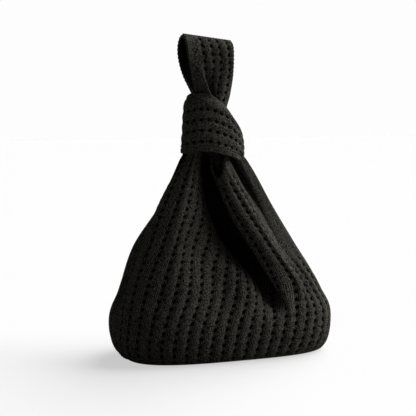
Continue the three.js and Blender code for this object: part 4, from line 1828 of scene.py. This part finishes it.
@dataclass
class Studio:
    """White paper sweep, soft light from above and from the right, and the photograph's camera."""

    distance: float = 1.25
    azimuth: float = -21.0
    camera_height: float = 0.2866
    aim: tuple[float, float, float] = (-0.0145, 0.0056, 0.1686)
    lens: float = 93.5
    floor_half: float = 8.0
    sensor_mm: float = 36.0
    furthest: float = 50.0
    sky: str = "#ffffff"
    backdrop: str = "#fdfdfd"
    horizon_light: float = 0.03
    overhead_light: float = 0.1
    key_strength: float = 8.0
    key_spread: float = 85.0
    key_toward: tuple[float, float, float] = (-0.86, -0.24, -0.42)

    def build(self) -> None:
        """Set up the floor, the light and the camera."""
        self._floor()
        self._world()
        self._key()
        self._camera()
        bpy.context.scene.view_settings.view_transform = "Standard"

    def _floor(self) -> None:
        """Lay the floor."""
        half = self.floor_half
        mesh = bpy.data.meshes.new("floor")
        corners = [(-half, -half, 0.0), (half, -half, 0.0), (half, half, 0.0), (-half, half, 0.0)]
        mesh.from_pydata(corners, [], [(0, 1, 2, 3)])
        mesh.materials.append(PaleFloorFinish().build())
        floor = bpy.data.objects.new("floor", mesh)
        bpy.context.scene.collection.objects.link(floor)

    def _world(self) -> None:
        """Light softly from above and dimly from the sides, and show white behind the bag."""
        world = bpy.data.worlds.new("studio")
        bpy.context.scene.world = world
        world.use_nodes = True
        tree = world.node_tree
        tree.nodes.clear()
        way = add_node(tree, "ShaderNodeTexCoord")
        axes = add_node(tree, "ShaderNodeSeparateXYZ", inputs={0: way.outputs["Generated"]})
        sky = add_node(
            tree,
            "ShaderNodeMapRange",
            {"interpolation_type": "SMOOTHSTEP"},
            {"Value": axes.outputs[2], "To Min": self.horizon_light, "To Max": self.overhead_light},
        )
        soft = add_node(
            tree,
            "ShaderNodeBackground",
            inputs={"Color": linear(self.sky), "Strength": sky.outputs[0]},
        )
        white = add_node(
            tree, "ShaderNodeBackground", inputs={"Color": linear(self.backdrop), "Strength": 1.0}
        )
        shown = shown_directly(tree)
        both = add_node(
            tree, "ShaderNodeMixShader", inputs={0: shown, 1: soft.outputs[0], 2: white.outputs[0]}
        )
        add_node(tree, "ShaderNodeOutputWorld", inputs={"Surface": both.outputs[0]})

    def _key(self) -> None:
        """Shine a broad soft light from the right and above."""
        lamp = bpy.data.lights.new("key", "SUN")
        lamp.energy = self.key_strength
        lamp.angle = math.radians(self.key_spread)
        key = bpy.data.objects.new("key", lamp)
        key.rotation_euler = Vector(self.key_toward).to_track_quat("-Z", "Y").to_euler()
        bpy.context.scene.collection.objects.link(key)

    def _camera(self) -> None:
        """Stand the camera where the photograph was taken."""
        data = bpy.data.cameras.new("camera")
        data.lens = self.lens
        data.sensor_width = self.sensor_mm
        data.clip_end = self.furthest
        camera = bpy.data.objects.new("camera", data)
        turn = math.radians(self.azimuth)
        aim = Vector(self.aim)
        camera.location = (
            aim.x + self.distance * math.sin(turn),
            aim.y - self.distance * math.cos(turn),
            self.camera_height,
        )
        camera.rotation_euler = (aim - camera.location).to_track_quat("-Z", "Y").to_euler()
        bpy.context.scene.collection.objects.link(camera)
        bpy.context.scene.camera = camera


def main() -> None:
    """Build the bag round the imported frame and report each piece."""
    logging.basicConfig(level=logging.INFO, format="%(name)s: %(message)s")
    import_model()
    Studio().build()
    pouch_knit = KnitFinish("black_cotton_eyelet_knit").build()
    handle_knit = KnitFinish(
        "black_cotton_handle_knit", column_mm=12.2, eyelet_mm=8.9, hole_mm=1.9
    ).build()
    trim_knit = KnitFinish("black_cotton_linked_edge", wales_per_column=6.0).build()
    pieces = {
        **WristLoop().build(handle_knit, trim_knit),
        **KnotBand().build(handle_knit, trim_knit),
        **Pouch().build(pouch_knit, trim_knit),
    }
    for name, piece in pieces.items():
        LOG.info("%s: %d faces", name, len(piece.data.polygons))


if __name__ == "__main__":
    main()
